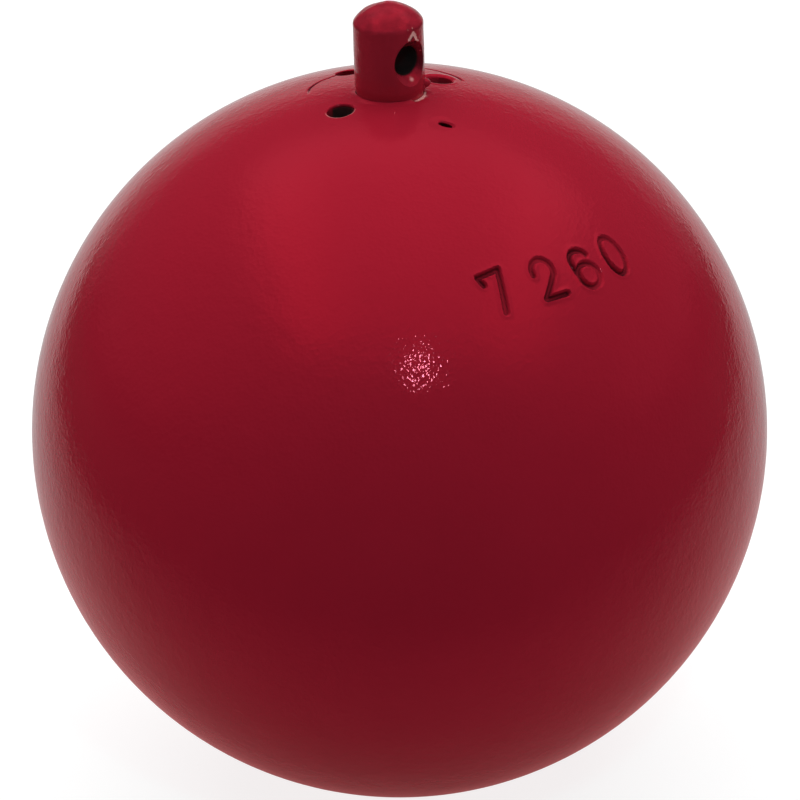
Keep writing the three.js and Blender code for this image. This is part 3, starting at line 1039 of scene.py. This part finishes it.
def thicken_enamel(piece):
    """Pushes the painted stub in and out where the enamel ran, and hangs drops on its side."""
    hung = []
    for azimuth, height, across, rise in drops:
        turn = math.radians(azimuth)
        spot = Vector((stub_radius * math.sin(turn), -stub_radius * math.cos(turn), height))
        hung.append((spot, across, rise))
    points = np.array([vertex.co for vertex in piece.data.vertices])
    marked = worn_depth * (1 - smooth_step(from_streak(points), *worn_sinks_within))
    for vertex, rubbed in zip(piece.data.vertices, marked):
        place = vertex.co.copy()
        above = smooth_step(place.z, pole, pole + coat_fades_over)
        if above == 0:
            continue
        on_dome = smooth_step(place.z, dome_foot - dome_fillet, spindle_high.z)
        lump = noise.noise(place / lump_across)
        lump += small_lump_share * noise.noise(place / small_lump_across)
        outward = Vector((place.x, place.y, 0)).normalized()
        outward = outward.lerp(Vector((0, 0, 1)), float(on_dome)).normalized()
        push = above * (coat + (dome_coat - coat) * on_dome) - rubbed
        lumpy = side_lump_share + (1 - side_lump_share) * on_dome
        push += lump_height * above * lumpy * lump
        for spot, across, rise in hung:
            push += rise * max(0, 1 - ((place - spot).length / across) ** 2) ** drop_roundness
        vertex.co = place + outward * float(push)


thicken_enamel(spindle)

eye_edge = 0.9 * mm
eye_sides = 128
sink_depth = eye_sink_radius - eye_radius
sink_rings = np.linspace(sink_depth, 0.5 * mm, 12)
sink_slope = stub_radius + coat - sink_depth
sink_foot = sink_slope - eye_edge * math.tan(math.radians(45 / 2))
eye_tool = turned("eye_tool", [
    (0, stub_radius + coat + tool_overrun),
    (eye_sink_radius + tool_overrun, stub_radius + coat + tool_overrun),
    *[(eye_radius + sink, sink_slope + sink) for sink in sink_rings],
    *arc(eye_radius + eye_edge, sink_foot, eye_edge, 135, 180, 6),
    *arc(eye_radius + eye_edge, -sink_foot, eye_edge, 180, 225, 6),
    (eye_sink_radius + tool_overrun, -stub_radius - coat - tool_overrun),
    (0, -stub_radius - coat - tool_overrun),
], eye_sides)
eye_tool.matrix_world = spin(eye_azimuth) @ spin(90, "X")
pin_reach = tail_radius + tool_overrun
pin_tool = cylinder("pin_tool", pin_hole_radius, pin_reach, -pin_reach)
pin_tool.matrix_world = Matrix.Translation((0, 0, pin_height)) @ spin(90, "Y")
carve(spindle, [eye_tool, pin_tool])

# Pale spots, each with its place and its reach: a painted highlight low in the sink, and two
# pale specks above the highlight streak
pale_spots = [
    ((3.5 * mm, -3.35 * mm, -3.1 * mm), 0.5 * mm),
    ((3.9 * mm, -4.11 * mm, 5.94 * mm), 0.22 * mm),
    ((3.18 * mm, -4.69 * mm, 5.85 * mm), 0.2 * mm),
]
pale_spot_share = 0.75
pale_spot_core = 0.3
streak_core = 0.7
streak_raggedness = 0.6
streak_grain = 0.5 * mm
dome_shade = 0.41
dome_mottle = 0.22
dome_blotch = 1.5 * mm
side_wall_radius = stub_radius - 0.02 * mm
bare_eye_ends = (eye_radius + 0.01 * mm, eye_radius + 0.06 * mm)
bare_below = pole - 1.4 * mm
eye_depths = (stub_radius * 0.35, stub_radius * 0.8)
sink_shade = 0.8
sink_shade_lean = 0.8
sink_shade_heights = (-1.5 * mm, 1.0 * mm)
sink_shade_ends = (eye_sink_radius - 0.9 * mm, eye_sink_radius + 0.3 * mm)
# A painted shadow line just below the highlight streak
streak_shadow_darkness = 0.9
streak_shadow_drop = 0.4 * mm
streak_shadow_ends = (0.1 * mm, 0.3 * mm)
eye_turn = math.radians(eye_azimuth)
eye_axis = np.array([math.sin(eye_turn), -math.cos(eye_turn), 0])


def from_eye(points):
    """Each point's distance from the eye's axis, and how far along the axis it is."""
    along = points @ eye_axis
    return np.linalg.norm(points - np.outer(along, eye_axis), axis=1), np.abs(along)


def eye_bare_and_shaded(points):
    """The steel without enamel: inside the eye, where it is painted near black as shade, and below
    the ball's surface.
    """
    away, _ = from_eye(points)
    inside = 1 - smooth_step(away, *bare_eye_ends)
    return np.maximum(inside, points[:, 2] < bare_below)


def eye_pool_shade_and_shadow(points):
    """Pooled enamel and painted shade deep in the eye, painted shade over the sink's upper side, a
    darker mottled dome, and a painted shadow line below the highlight streak.
    """
    away, along = from_eye(points)
    deep = 1 - smooth_step(along, *eye_depths)
    beside = points @ np.array([-eye_axis[1], eye_axis[0], 0])
    shaded = smooth_step(points[:, 2] + sink_shade_lean * beside, *sink_shade_heights)
    shaded *= sink_shade * (1 - smooth_step(away, *sink_shade_ends))
    streak_shadow = streak_shadow_darkness * (1 - smooth_step(from_streak(points, streak_shadow_drop), *streak_shadow_ends))
    inside = np.maximum(deep * (away < eye_sink_radius), shaded)
    on_dome = smooth_step(points[:, 2], dome_foot - dome_fillet, dome_foot)
    domed = (dome_shade + dome_mottle * raggedness(points, dome_blotch)) * on_dome
    return np.maximum(np.maximum(inside, streak_shadow), domed)


def eye_chip_and_highlight(points):
    """Pale marks: a painted highlight along the streak above the eye, and the pale spots."""
    edge = highlight_streak_half * (1 + streak_raggedness * raggedness(points, streak_grain))
    outside = np.hypot(points[:, 0], points[:, 1]) > side_wall_radius
    marked = outside * (1 - smooth_step(from_streak(points), streak_core * edge, edge))
    for place, reach in pale_spots:
        from_spot = np.linalg.norm(points - place, axis=1)
        spotted = pale_spot_share * (1 - smooth_step(from_spot, pale_spot_core * reach, reach))
        marked = np.maximum(marked, spotted)
    return marked


mark(spindle, "bare_and_shaded", eye_bare_and_shaded)
mark(spindle, "pool_and_shade", eye_pool_shade_and_shadow)
mark(spindle, "chip_and_highlight", eye_chip_and_highlight)
shade(spindle, 40)
dipped_red = (0.32, 0.013, 0.027, 1)
dipped_light = (0.36, 0.015, 0.031, 1)
spindle.data.materials.append(red_enamel("dipped enamel", dipped_red, dipped_light))
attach(spindle, "spindle")
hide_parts("spindle")

# The flat washer under the nut and the castle nut that carries the pull of the wire: punched
# and pressed steel, plated with zinc. The nut is slotted to take the split pin.
nut_low, nut_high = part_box("castle_nut")
nut_flats = 2 * nut_high.x
nut_sides = 96
nut_slot_depth = 4 * mm
nut_slot_half = pin_wire + running_gap
nut_slot_azimuths = (0, 60, 120)
nut_chamfer_angle = 30
washer_low, washer_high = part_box("nut_washer")
washer_sides = 120
die_roll = 0.35 * mm
zinc_light = (0.62, 0.615, 0.57, 1)
zinc_dark = (0.46, 0.47, 0.48, 1)
zinc_roughness = (0.22, 0.45)
zinc_grain = 0.5 * mm
zinc_plate = turned_metal("zinc plate", zinc_dark, zinc_light, zinc_roughness, grain=zinc_grain)

flat_washer = turned("plated_washer", [
    *arc(washer_high.x - die_roll, washer_high.z - die_roll, die_roll, 0, 90, 5),
    *arc(shaft_bore + die_roll, washer_high.z - die_roll, die_roll, 90, 180, 5),
    (shaft_bore, washer_low.z),
    (washer_high.x, washer_low.z),
], washer_sides, tips=False)
shade(flat_washer, 35)
flat_washer.data.materials.append(zinc_plate)
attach(flat_washer, "spindle")
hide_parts("nut_washer")


def corner_of(flats):
    """How far a hexagon's corners lie from its middle."""
    return flats / 2 / math.cos(math.radians(30))


def hexagon_bar(name, flats, top, bottom):
    corner = corner_of(flats)
    rings = rings_of([(corner, top), (corner, bottom)], 6)
    return skin(name, *rings, np.arange(6) * 60 + 30, tips=(top, bottom))


def slot_tool(azimuth):
    """A bar across the whole nut, as wide as the slot and with a round end to it."""
    half_long, rounding = nut_flats, nut_slot_half / 2
    section = [
        (nut_slot_half, -tool_overrun),
        *arc(nut_slot_half - rounding, nut_slot_depth - rounding, rounding, 0, 90, 6),
        *arc(rounding - nut_slot_half, nut_slot_depth - rounding, rounding, 90, 180, 6),
        (-nut_slot_half, -tool_overrun),
    ]
    near = [(-half_long, y, nut_low.z + z) for y, z in section]
    far = [(half_long, y, z) for _, y, z in near]
    count = len(section)
    sides = [(i, (i + 1) % count, count + (i + 1) % count, count + i) for i in range(count)]
    faces = [*sides, tuple(range(count))[::-1], tuple(range(count, 2 * count))]
    mesh = bpy.data.meshes.new("slot")
    mesh.from_pydata(near + far, [], faces)
    tool = link("slot", mesh)
    tool.matrix_world = spin(azimuth)
    return tool


nut = hexagon_bar("plated_castle_nut", nut_flats, nut_high.z, nut_low.z)
flare_out = corner_of(nut_flats) + tool_overrun
flare_drop = (flare_out - nut_flats / 2) * math.tan(math.radians(nut_chamfer_angle))
rounded = turned("rounded", [
    (0, nut_high.z),
    (nut_flats / 2, nut_high.z),
    (flare_out, nut_high.z - flare_drop),
    (flare_out, nut_low.z + flare_drop),
    (nut_flats / 2, nut_low.z),
    (0, nut_low.z),
], nut_sides)
carve(nut, [rounded], "INTERSECT")
bore_azimuths = azimuths_of(72)
bore_mouth = rings_of([
    (tail_radius + running_gap, nut_top + tool_overrun),
    (tail_radius + running_gap, nut_top),
], len(bore_azimuths))
winding = thread_rings(
    thread_top, nut_low.z - tool_overrun, tail_radius + running_gap, thread_pitch, thread_depth,
    bore_azimuths, thread_run_out,
)
tapped = skin(
    "tapped",
    *stacked(bore_mouth, winding),
    bore_azimuths,
    tips=(nut_top + tool_overrun, winding[1][-1, 0]),
)
carve(nut, [tapped, *[slot_tool(azimuth) for azimuth in nut_slot_azimuths]])
shade(nut, 30)
nut.data.materials.append(zinc_plate)
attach(nut, "spindle")
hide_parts("castle_nut")

# The split pin: half-round steel wire folded flat to flat round an eye, pushed through the
# nut's slots and the spindle, and opened with one leg bent up and the other down.
pin_bend = 1.6 * mm
pin_neck = 1.6 * mm
pin_eye = 1.1 * mm
wire_corners = 15
leg_line = pin_leg_gap / 2
leg_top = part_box("split_pin")[1].z - pin_height
leg_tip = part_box("split_pin")[0].z - pin_height
long_bend = nut_flats / 2 + running_gap + pin_wire - pin_bend
short_bend = tail_radius + running_gap + pin_wire - pin_bend
neck_start = -tail_radius - running_gap
neck_run = math.sqrt((pin_neck + pin_eye) ** 2 - (leg_line + pin_neck) ** 2)
neck_angle = math.degrees(math.atan2(neck_run, leg_line + pin_neck))
pin_route = [
    (long_bend + pin_bend, leg_top),
    *arc(long_bend, leg_line + pin_bend, pin_bend, 0, -90, 10),
    *arc(neck_start, leg_line + pin_neck, pin_neck, -90, -90 - neck_angle, 8),
    *arc(neck_start - neck_run, 0, pin_eye, 90 - neck_angle, 270 + neck_angle, 28)[1:-1],
    *arc(neck_start, -leg_line - pin_neck, pin_neck, 90 + neck_angle, 90, 8),
    *arc(short_bend, -leg_line - pin_bend, pin_bend, 90, 0, 10),
    (short_bend + pin_bend, leg_tip),
]


def bent_wire(name, route, radius):
    """Half-round wire along a route in the X-Z plane, with its round side to the right."""
    route = np.array(route)
    ahead = np.gradient(route, axis=0)
    ahead /= np.linalg.norm(ahead, axis=1)[:, None]
    right = np.stack([ahead[:, 1], -ahead[:, 0]], axis=1)
    turn = np.radians(np.linspace(-90, 90, wire_corners))
    out, across = radius * np.cos(turn), radius * np.sin(turn)
    place = route[:, None, :] + right[:, None, :] * out[None, :, None]
    beside = np.broadcast_to(across, place.shape[:2])
    points = np.stack([place[..., 0], beside, place[..., 1] + pin_height], axis=-1)
    rings, count = points.shape[:2]
    faces = []
    for ring in range(rings - 1):
        for corner in range(count):
            after = (corner + 1) % count
            here, there = ring * count, (ring + 1) * count
            faces.append((here + corner, here + after, there + after, there + corner))
    faces.append(tuple(range(count))[::-1])
    faces.append(tuple((rings - 1) * count + corner for corner in range(count)))
    mesh = bpy.data.meshes.new(name)
    mesh.from_pydata(points.reshape(-1, 3).tolist(), [], faces)
    return link(name, mesh)


pin = bent_wire("plated_split_pin", pin_route, pin_wire)
shade(pin, 40)
pin.data.materials.append(zinc_plate)
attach(pin, "spindle")
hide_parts("split_pin")

# The lock screws: short grub screws of blackened steel with a hexagon socket, driven down the
# holes on the seam so that the plug can't unscrew.
screw_radius = 1.8 * mm
screw_edge = 0.4 * mm
screw_pitch = 0.7 * mm
screw_thread_depth = 0.35 * mm
screw_cup_depth = 0.5 * mm
socket_flats = 2 * mm
socket_depth = 2.2 * mm
black_oxide = (0.035, 0.034, 0.036, 1)
worn_oxide = (0.075, 0.068, 0.062, 1)
oxide_roughness = (0.35, 0.6)
oxide_grain = 0.3 * mm
blackened = turned_metal(
    "blackened steel", black_oxide, worn_oxide, oxide_roughness, grain=oxide_grain
)
screw_azimuths = azimuths_of(60)

for place, azimuth in enumerate(lock_azimuths):
    node_name = f"lock_screw_{place + 1}"
    low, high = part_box(node_name)
    foot, head_face = low.z, high.z
    top_rings = rings_of([
        (screw_radius - screw_edge, head_face),
        (screw_radius - screw_thread_depth, head_face - screw_edge),
    ], len(screw_azimuths))
    first_ring = head_face - screw_edge - screw_pitch / thread_rings_per_turn
    winding = thread_rings(
        first_ring, foot, screw_radius, screw_pitch, screw_thread_depth, screw_azimuths,
        screw_pitch, screw_edge,
    )
    cup = rings_of([
        (screw_radius - screw_edge, foot),
        (screw_radius - 2 * screw_edge, foot),
    ], len(screw_azimuths))
    screw = skin(
        f"blackened_screw_{place + 1}",
        *stacked(top_rings, winding, cup),
        screw_azimuths,
        tips=(head_face, foot + screw_cup_depth),
    )
    key = hexagon_bar("key", socket_flats, head_face + tool_overrun, head_face - socket_depth)
    carve(screw, [key])
    screw.data.transform(spin(azimuth) @ Matrix.Translation((0, -plug_radius, 0)))
    shade(screw, 30)
    screw.data.materials.append(blackened)
    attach(screw, "head")
    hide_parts(node_name)

# The studio: a pale floor and a white sweep behind the ball, and a ceiling with two rows of
# lights and upper walls in warm light, which the enamel mirrors. A soft light hangs overhead,
# soft fills stand in front and at the sides, and a bare tube makes the bright spot.
floor_reach = 4.0
floor_height = ball_centre - ball_radius
floor_albedo = 0.5
shadow_albedo = 0.24
floor_glow = 0.84
paper_range = (-0.2, 0.6)
paper_glow = (0.09, 0.65)
sweep_place = (-35, 180)
sweep_range = (0.47, 0.79)
sheet_front = (-150 * mm, 0)
sheet_sides = (100 * mm, 280 * mm)
sheet_spread = 0.5
contact_range = (20 * mm, 90 * mm)
contact_shade = 0.42
# Painted red bounce light on the floor near the ball, seen in the enamel
red_bounce = (1, 0.3, 0.3, 1)
red_bounce_range = (20 * mm, 170 * mm)
sweep_white = 0.42
sheet_white = 0.62
room_dark = 0.124
room_mirrored = 0.05
warm_room = (1, 0.3, 0.42, 1)
white = (1, 1, 1, 1)
lowest_rise = 0.02
ceiling_white = 0.53
ceiling_across = (-0.75, 1.15)
ceiling_along = (-0.82, 1.0)
ceiling_blur = 0.22
upper_wall_white = 0.16
upper_wall_across = (-8, 8)
upper_wall_along = (-1.3, 9)
upper_wall_blur = 0.7
tube_white = 0.56
tube_places = (-0.5, 0.7)
tube_half = 0.15
tube_along = (-0.65, 0.75)


def seen_from(elevation, azimuth=0):
    """The direction of something at that elevation and azimuth, from the object."""
    tilt, turn = math.radians(elevation), math.radians(azimuth)
    return Vector((
        math.sin(turn) * math.cos(tilt), -math.cos(turn) * math.cos(tilt), math.sin(tilt)
    ))


sweep_middle = seen_from(*sweep_place)


def ramp(tree, direction, middle, dots, dark, light):
    """A value that grows from dark to light as the direction turns towards the middle."""
    unit = node(tree, "VectorMath", {0: direction}, operation="NORMALIZE")
    turn = node(tree, "VectorMath", {0: unit, 1: middle}, "Value", operation="DOT_PRODUCT")
    ranges = {"Value": turn, "From Min": dots[0], "From Max": dots[1]}
    ranges.update({"To Min": dark, "To Max": light})
    return node(tree, "MapRange", ranges, interpolation_type="SMOOTHSTEP")


def blank_tree(holder, output):
    holder.use_nodes = True
    holder.node_tree.nodes.clear()
    end = holder.node_tree.nodes.new(output)
    return holder.node_tree, end.inputs["Surface"]


floor_mesh = bpy.data.meshes.new("floor")
square = ((-1, -1), (1, -1), (1, 1), (-1, 1))
floor_corners = [(x * floor_reach, y * floor_reach, floor_height) for x, y in square]
floor_mesh.from_pydata(floor_corners, [], [[0, 1, 2, 3]])
floor = link("floor", floor_mesh)
floor_finish = bpy.data.materials.new("pale floor")
tree, surface = blank_tree(floor_finish, "ShaderNodeOutputMaterial")
rays = tree.nodes.new("ShaderNodeLightPath")
place = node(tree, "TexCoord", {}, "Object")
from_ball = node(tree, "VectorMath", {0: place, 1: (0, 0, ball_centre)}, operation="SUBTRACT")
foot = (0, 0, floor_height)
paper = node(tree, "BsdfDiffuse", {"Color": (floor_albedo, floor_albedo, floor_albedo, 1)})
# For diffuse rays the floor also glows, most behind the ball: painted bounce light
paper_light = ramp(tree, from_ball, sweep_middle, paper_range, *paper_glow)
matt = node(tree, "AddShader", {0: paper, 1: node(tree, "Emission", {"Strength": paper_light})})
# For glossy rays the floor is an emission: a painted contact shadow round the ball's foot and a
# painted red bounce near it, fading at the sides and in front
under = node(tree, "VectorMath", {0: place, 1: foot}, "Value", operation="DISTANCE")
sheet_light = scaled(tree, under, *contact_range, contact_shade, sheet_white)
beside = maths(tree, "ABSOLUTE", node(tree, "SeparateXYZ", {0: place}, "X"))
behind = node(tree, "SeparateXYZ", {0: place}, "Y")
from_side = maths(tree, "SUBTRACT", beside, maths(tree, "MULTIPLY", behind, sheet_spread))
for value, ends, share in ((from_side, sheet_sides, (1, 0)), (behind, sheet_front, (0, 1))):
    sheet_light = maths(tree, "MULTIPLY", sheet_light, scaled(tree, value, *ends, *share))
sheet_light = maths(tree, "MAXIMUM", sheet_light, room_mirrored)
red_bounce_tint = mix(tree, scaled(tree, under, *red_bounce_range, 0, 1), red_bounce, white)
sheet = node(tree, "Emission", {"Color": red_bounce_tint, "Strength": sheet_light})
shadowed = node(tree, "BsdfDiffuse", {"Color": (shadow_albedo, shadow_albedo, shadow_albedo, 1)})
camera_glow = node(tree, "Emission", {"Strength": floor_glow})
camera_floor = node(tree, "AddShader", {0: shadowed, 1: camera_glow})
mirrored = node(tree, "MixShader", {0: rays.outputs["Is Glossy Ray"], 1: matt, 2: sheet})
shown = node(tree, "MixShader", {0: rays.outputs["Is Camera Ray"], 1: mirrored, 2: camera_floor})
tree.links.new(shown, surface)
floor.data.materials.append(floor_finish)

world = bpy.data.worlds.new("studio")
bpy.context.scene.world = world
tree, surface = blank_tree(world, "ShaderNodeOutputWorld")
rays = tree.nodes.new("ShaderNodeLightPath")
direction = node(tree, "TexCoord", {}, "Generated")
room = ramp(tree, direction, sweep_middle, sweep_range, room_dark, sweep_white)
mirrored_room = ramp(tree, direction, sweep_middle, sweep_range, room_mirrored, sweep_white)


def between(tree, value, ends, blur):
    """1 between the two ends and 0 outside, with soft edges."""
    middle, half = sum(ends) / 2, (ends[1] - ends[0]) / 2
    away = maths(tree, "ABSOLUTE", maths(tree, "SUBTRACT", value, middle))
    return scaled(tree, away, half - blur / 2, half + blur / 2, 1, 0)


height = node(tree, "SeparateXYZ", {0: direction}, "Z")
over = maths(tree, "MAXIMUM", height, lowest_rise)
over = node(tree, "CombineXYZ", {0: over, 1: over, 2: over})
plan = node(tree, "VectorMath", {0: direction, 1: over}, operation="DIVIDE")
plan_x, plan_y = (node(tree, "SeparateXYZ", {0: plan}, axis) for axis in "XY")
patches = [
    (ceiling_across, ceiling_along, ceiling_blur, ceiling_white),
    (upper_wall_across, upper_wall_along, upper_wall_blur, upper_wall_white),
]
for tube in tube_places:
    patches.append(((tube - tube_half, tube + tube_half), tube_along, 2 * tube_half, tube_white))
for across, along, blur, brightness in patches:
    within_x, within_y = between(tree, plan_x, across, blur), between(tree, plan_y, along, 2 * blur)
    patch = maths(tree, "MULTIPLY", maths(tree, "MULTIPLY", within_x, within_y), brightness)
    mirrored_room = maths(tree, "ADD", mirrored_room, patch)
for kind, brightness in (("Is Glossy Ray", mirrored_room), ("Is Camera Ray", 1.0)):
    room = node(tree, "Mix", {0: rays.outputs[kind], 2: room, 3: brightness}, data_type="FLOAT")
off_sweep = ramp(tree, direction, sweep_middle, sweep_range, 1, 0)
tint_share = maths(tree, "MULTIPLY", off_sweep, rays.outputs["Is Glossy Ray"])
room_tint = mix(tree, tint_share, white, warm_room)
tree.links.new(node(tree, "Background", {"Color": room_tint, "Strength": room}), surface)


def panel(name, place, aim, size, radiance, mirrored=False):
    """A soft rectangular light of a given radiance, where 1 is as bright as white paper."""
    lamp = bpy.data.lights.new(name, "AREA")
    lamp.shape = "RECTANGLE"
    lamp.size, lamp.size_y = size
    lamp.energy = radiance * math.pi * size[0] * size[1]
    holder = link(name, lamp)
    holder.location = place
    holder.rotation_mode = "QUATERNION"
    holder.rotation_quaternion = (Vector(place) - Vector(aim)).to_track_quat("Z", "Y")
    holder.visible_glossy = mirrored
    return holder


def toward(direction, distance):
    return middle + Vector(direction).normalized() * distance


middle = Vector((0, 0, ball_centre))
soft_place, soft_aim = (0, 0.4, 1.0), (0, 0.4, 0)
soft_size, soft_radiance = (2.0, 1.3), 2.65
lamp_direction, lamp_distance = (0.12, -0.702, 0.702), 1.2
tube_size, tube_radiance = (26 * mm, 95 * mm), 205
tube_colour = (0.25, 1, 1)
fill_size, fill_radiance = (300 * mm, 300 * mm), 3.7
side_size, side_radiance = (400 * mm, 400 * mm), 1.4
side_fronting, side_rise, side_distance = -0.1, 0.2, 1.0
lamp_place = toward(lamp_direction, lamp_distance)
panel("soft_light", soft_place, soft_aim, soft_size, soft_radiance)
tube_lamp = panel("bare_tube", lamp_place, middle, tube_size, tube_radiance, mirrored=True)
tube_lamp.data.color = tube_colour
panel("front_fill", lamp_place, middle, fill_size, fill_radiance)
for side in (-1, 1):
    side_place = toward((side, side_fronting, side_rise), side_distance)
    panel("side_wall", side_place, middle, side_size, side_radiance)

camera_elevation = 26.23
camera_distance = 732 * mm
camera_near = 50 * mm
camera_roll = 1.61
camera_lens = 197.9
camera_sensor = 36
aim_above_centre = 4.92 * mm
aim_beside_centre = 0.07 * mm

back = seen_from(camera_elevation)
right = Vector((1, 0, 0))
up = back.cross(right)
roll = math.radians(camera_roll)
rolled_up = up * math.cos(roll) + right * math.sin(roll)
rolled_right = right * math.cos(roll) - up * math.sin(roll)
aim = middle + rolled_up * aim_above_centre + rolled_right * aim_beside_centre
camera = bpy.data.objects.new("camera", bpy.data.cameras.new("camera"))
bpy.context.scene.collection.objects.link(camera)
bpy.context.scene.camera = camera
camera.data.sensor_width = camera_sensor
camera.data.lens = camera_lens
camera.data.clip_start = camera_near
turned_camera = Matrix((rolled_right, rolled_up, back)).transposed().to_4x4()
camera.matrix_world = Matrix.Translation(aim + back * camera_distance) @ turned_camera

bpy.context.scene.view_settings.view_transform = "Standard"
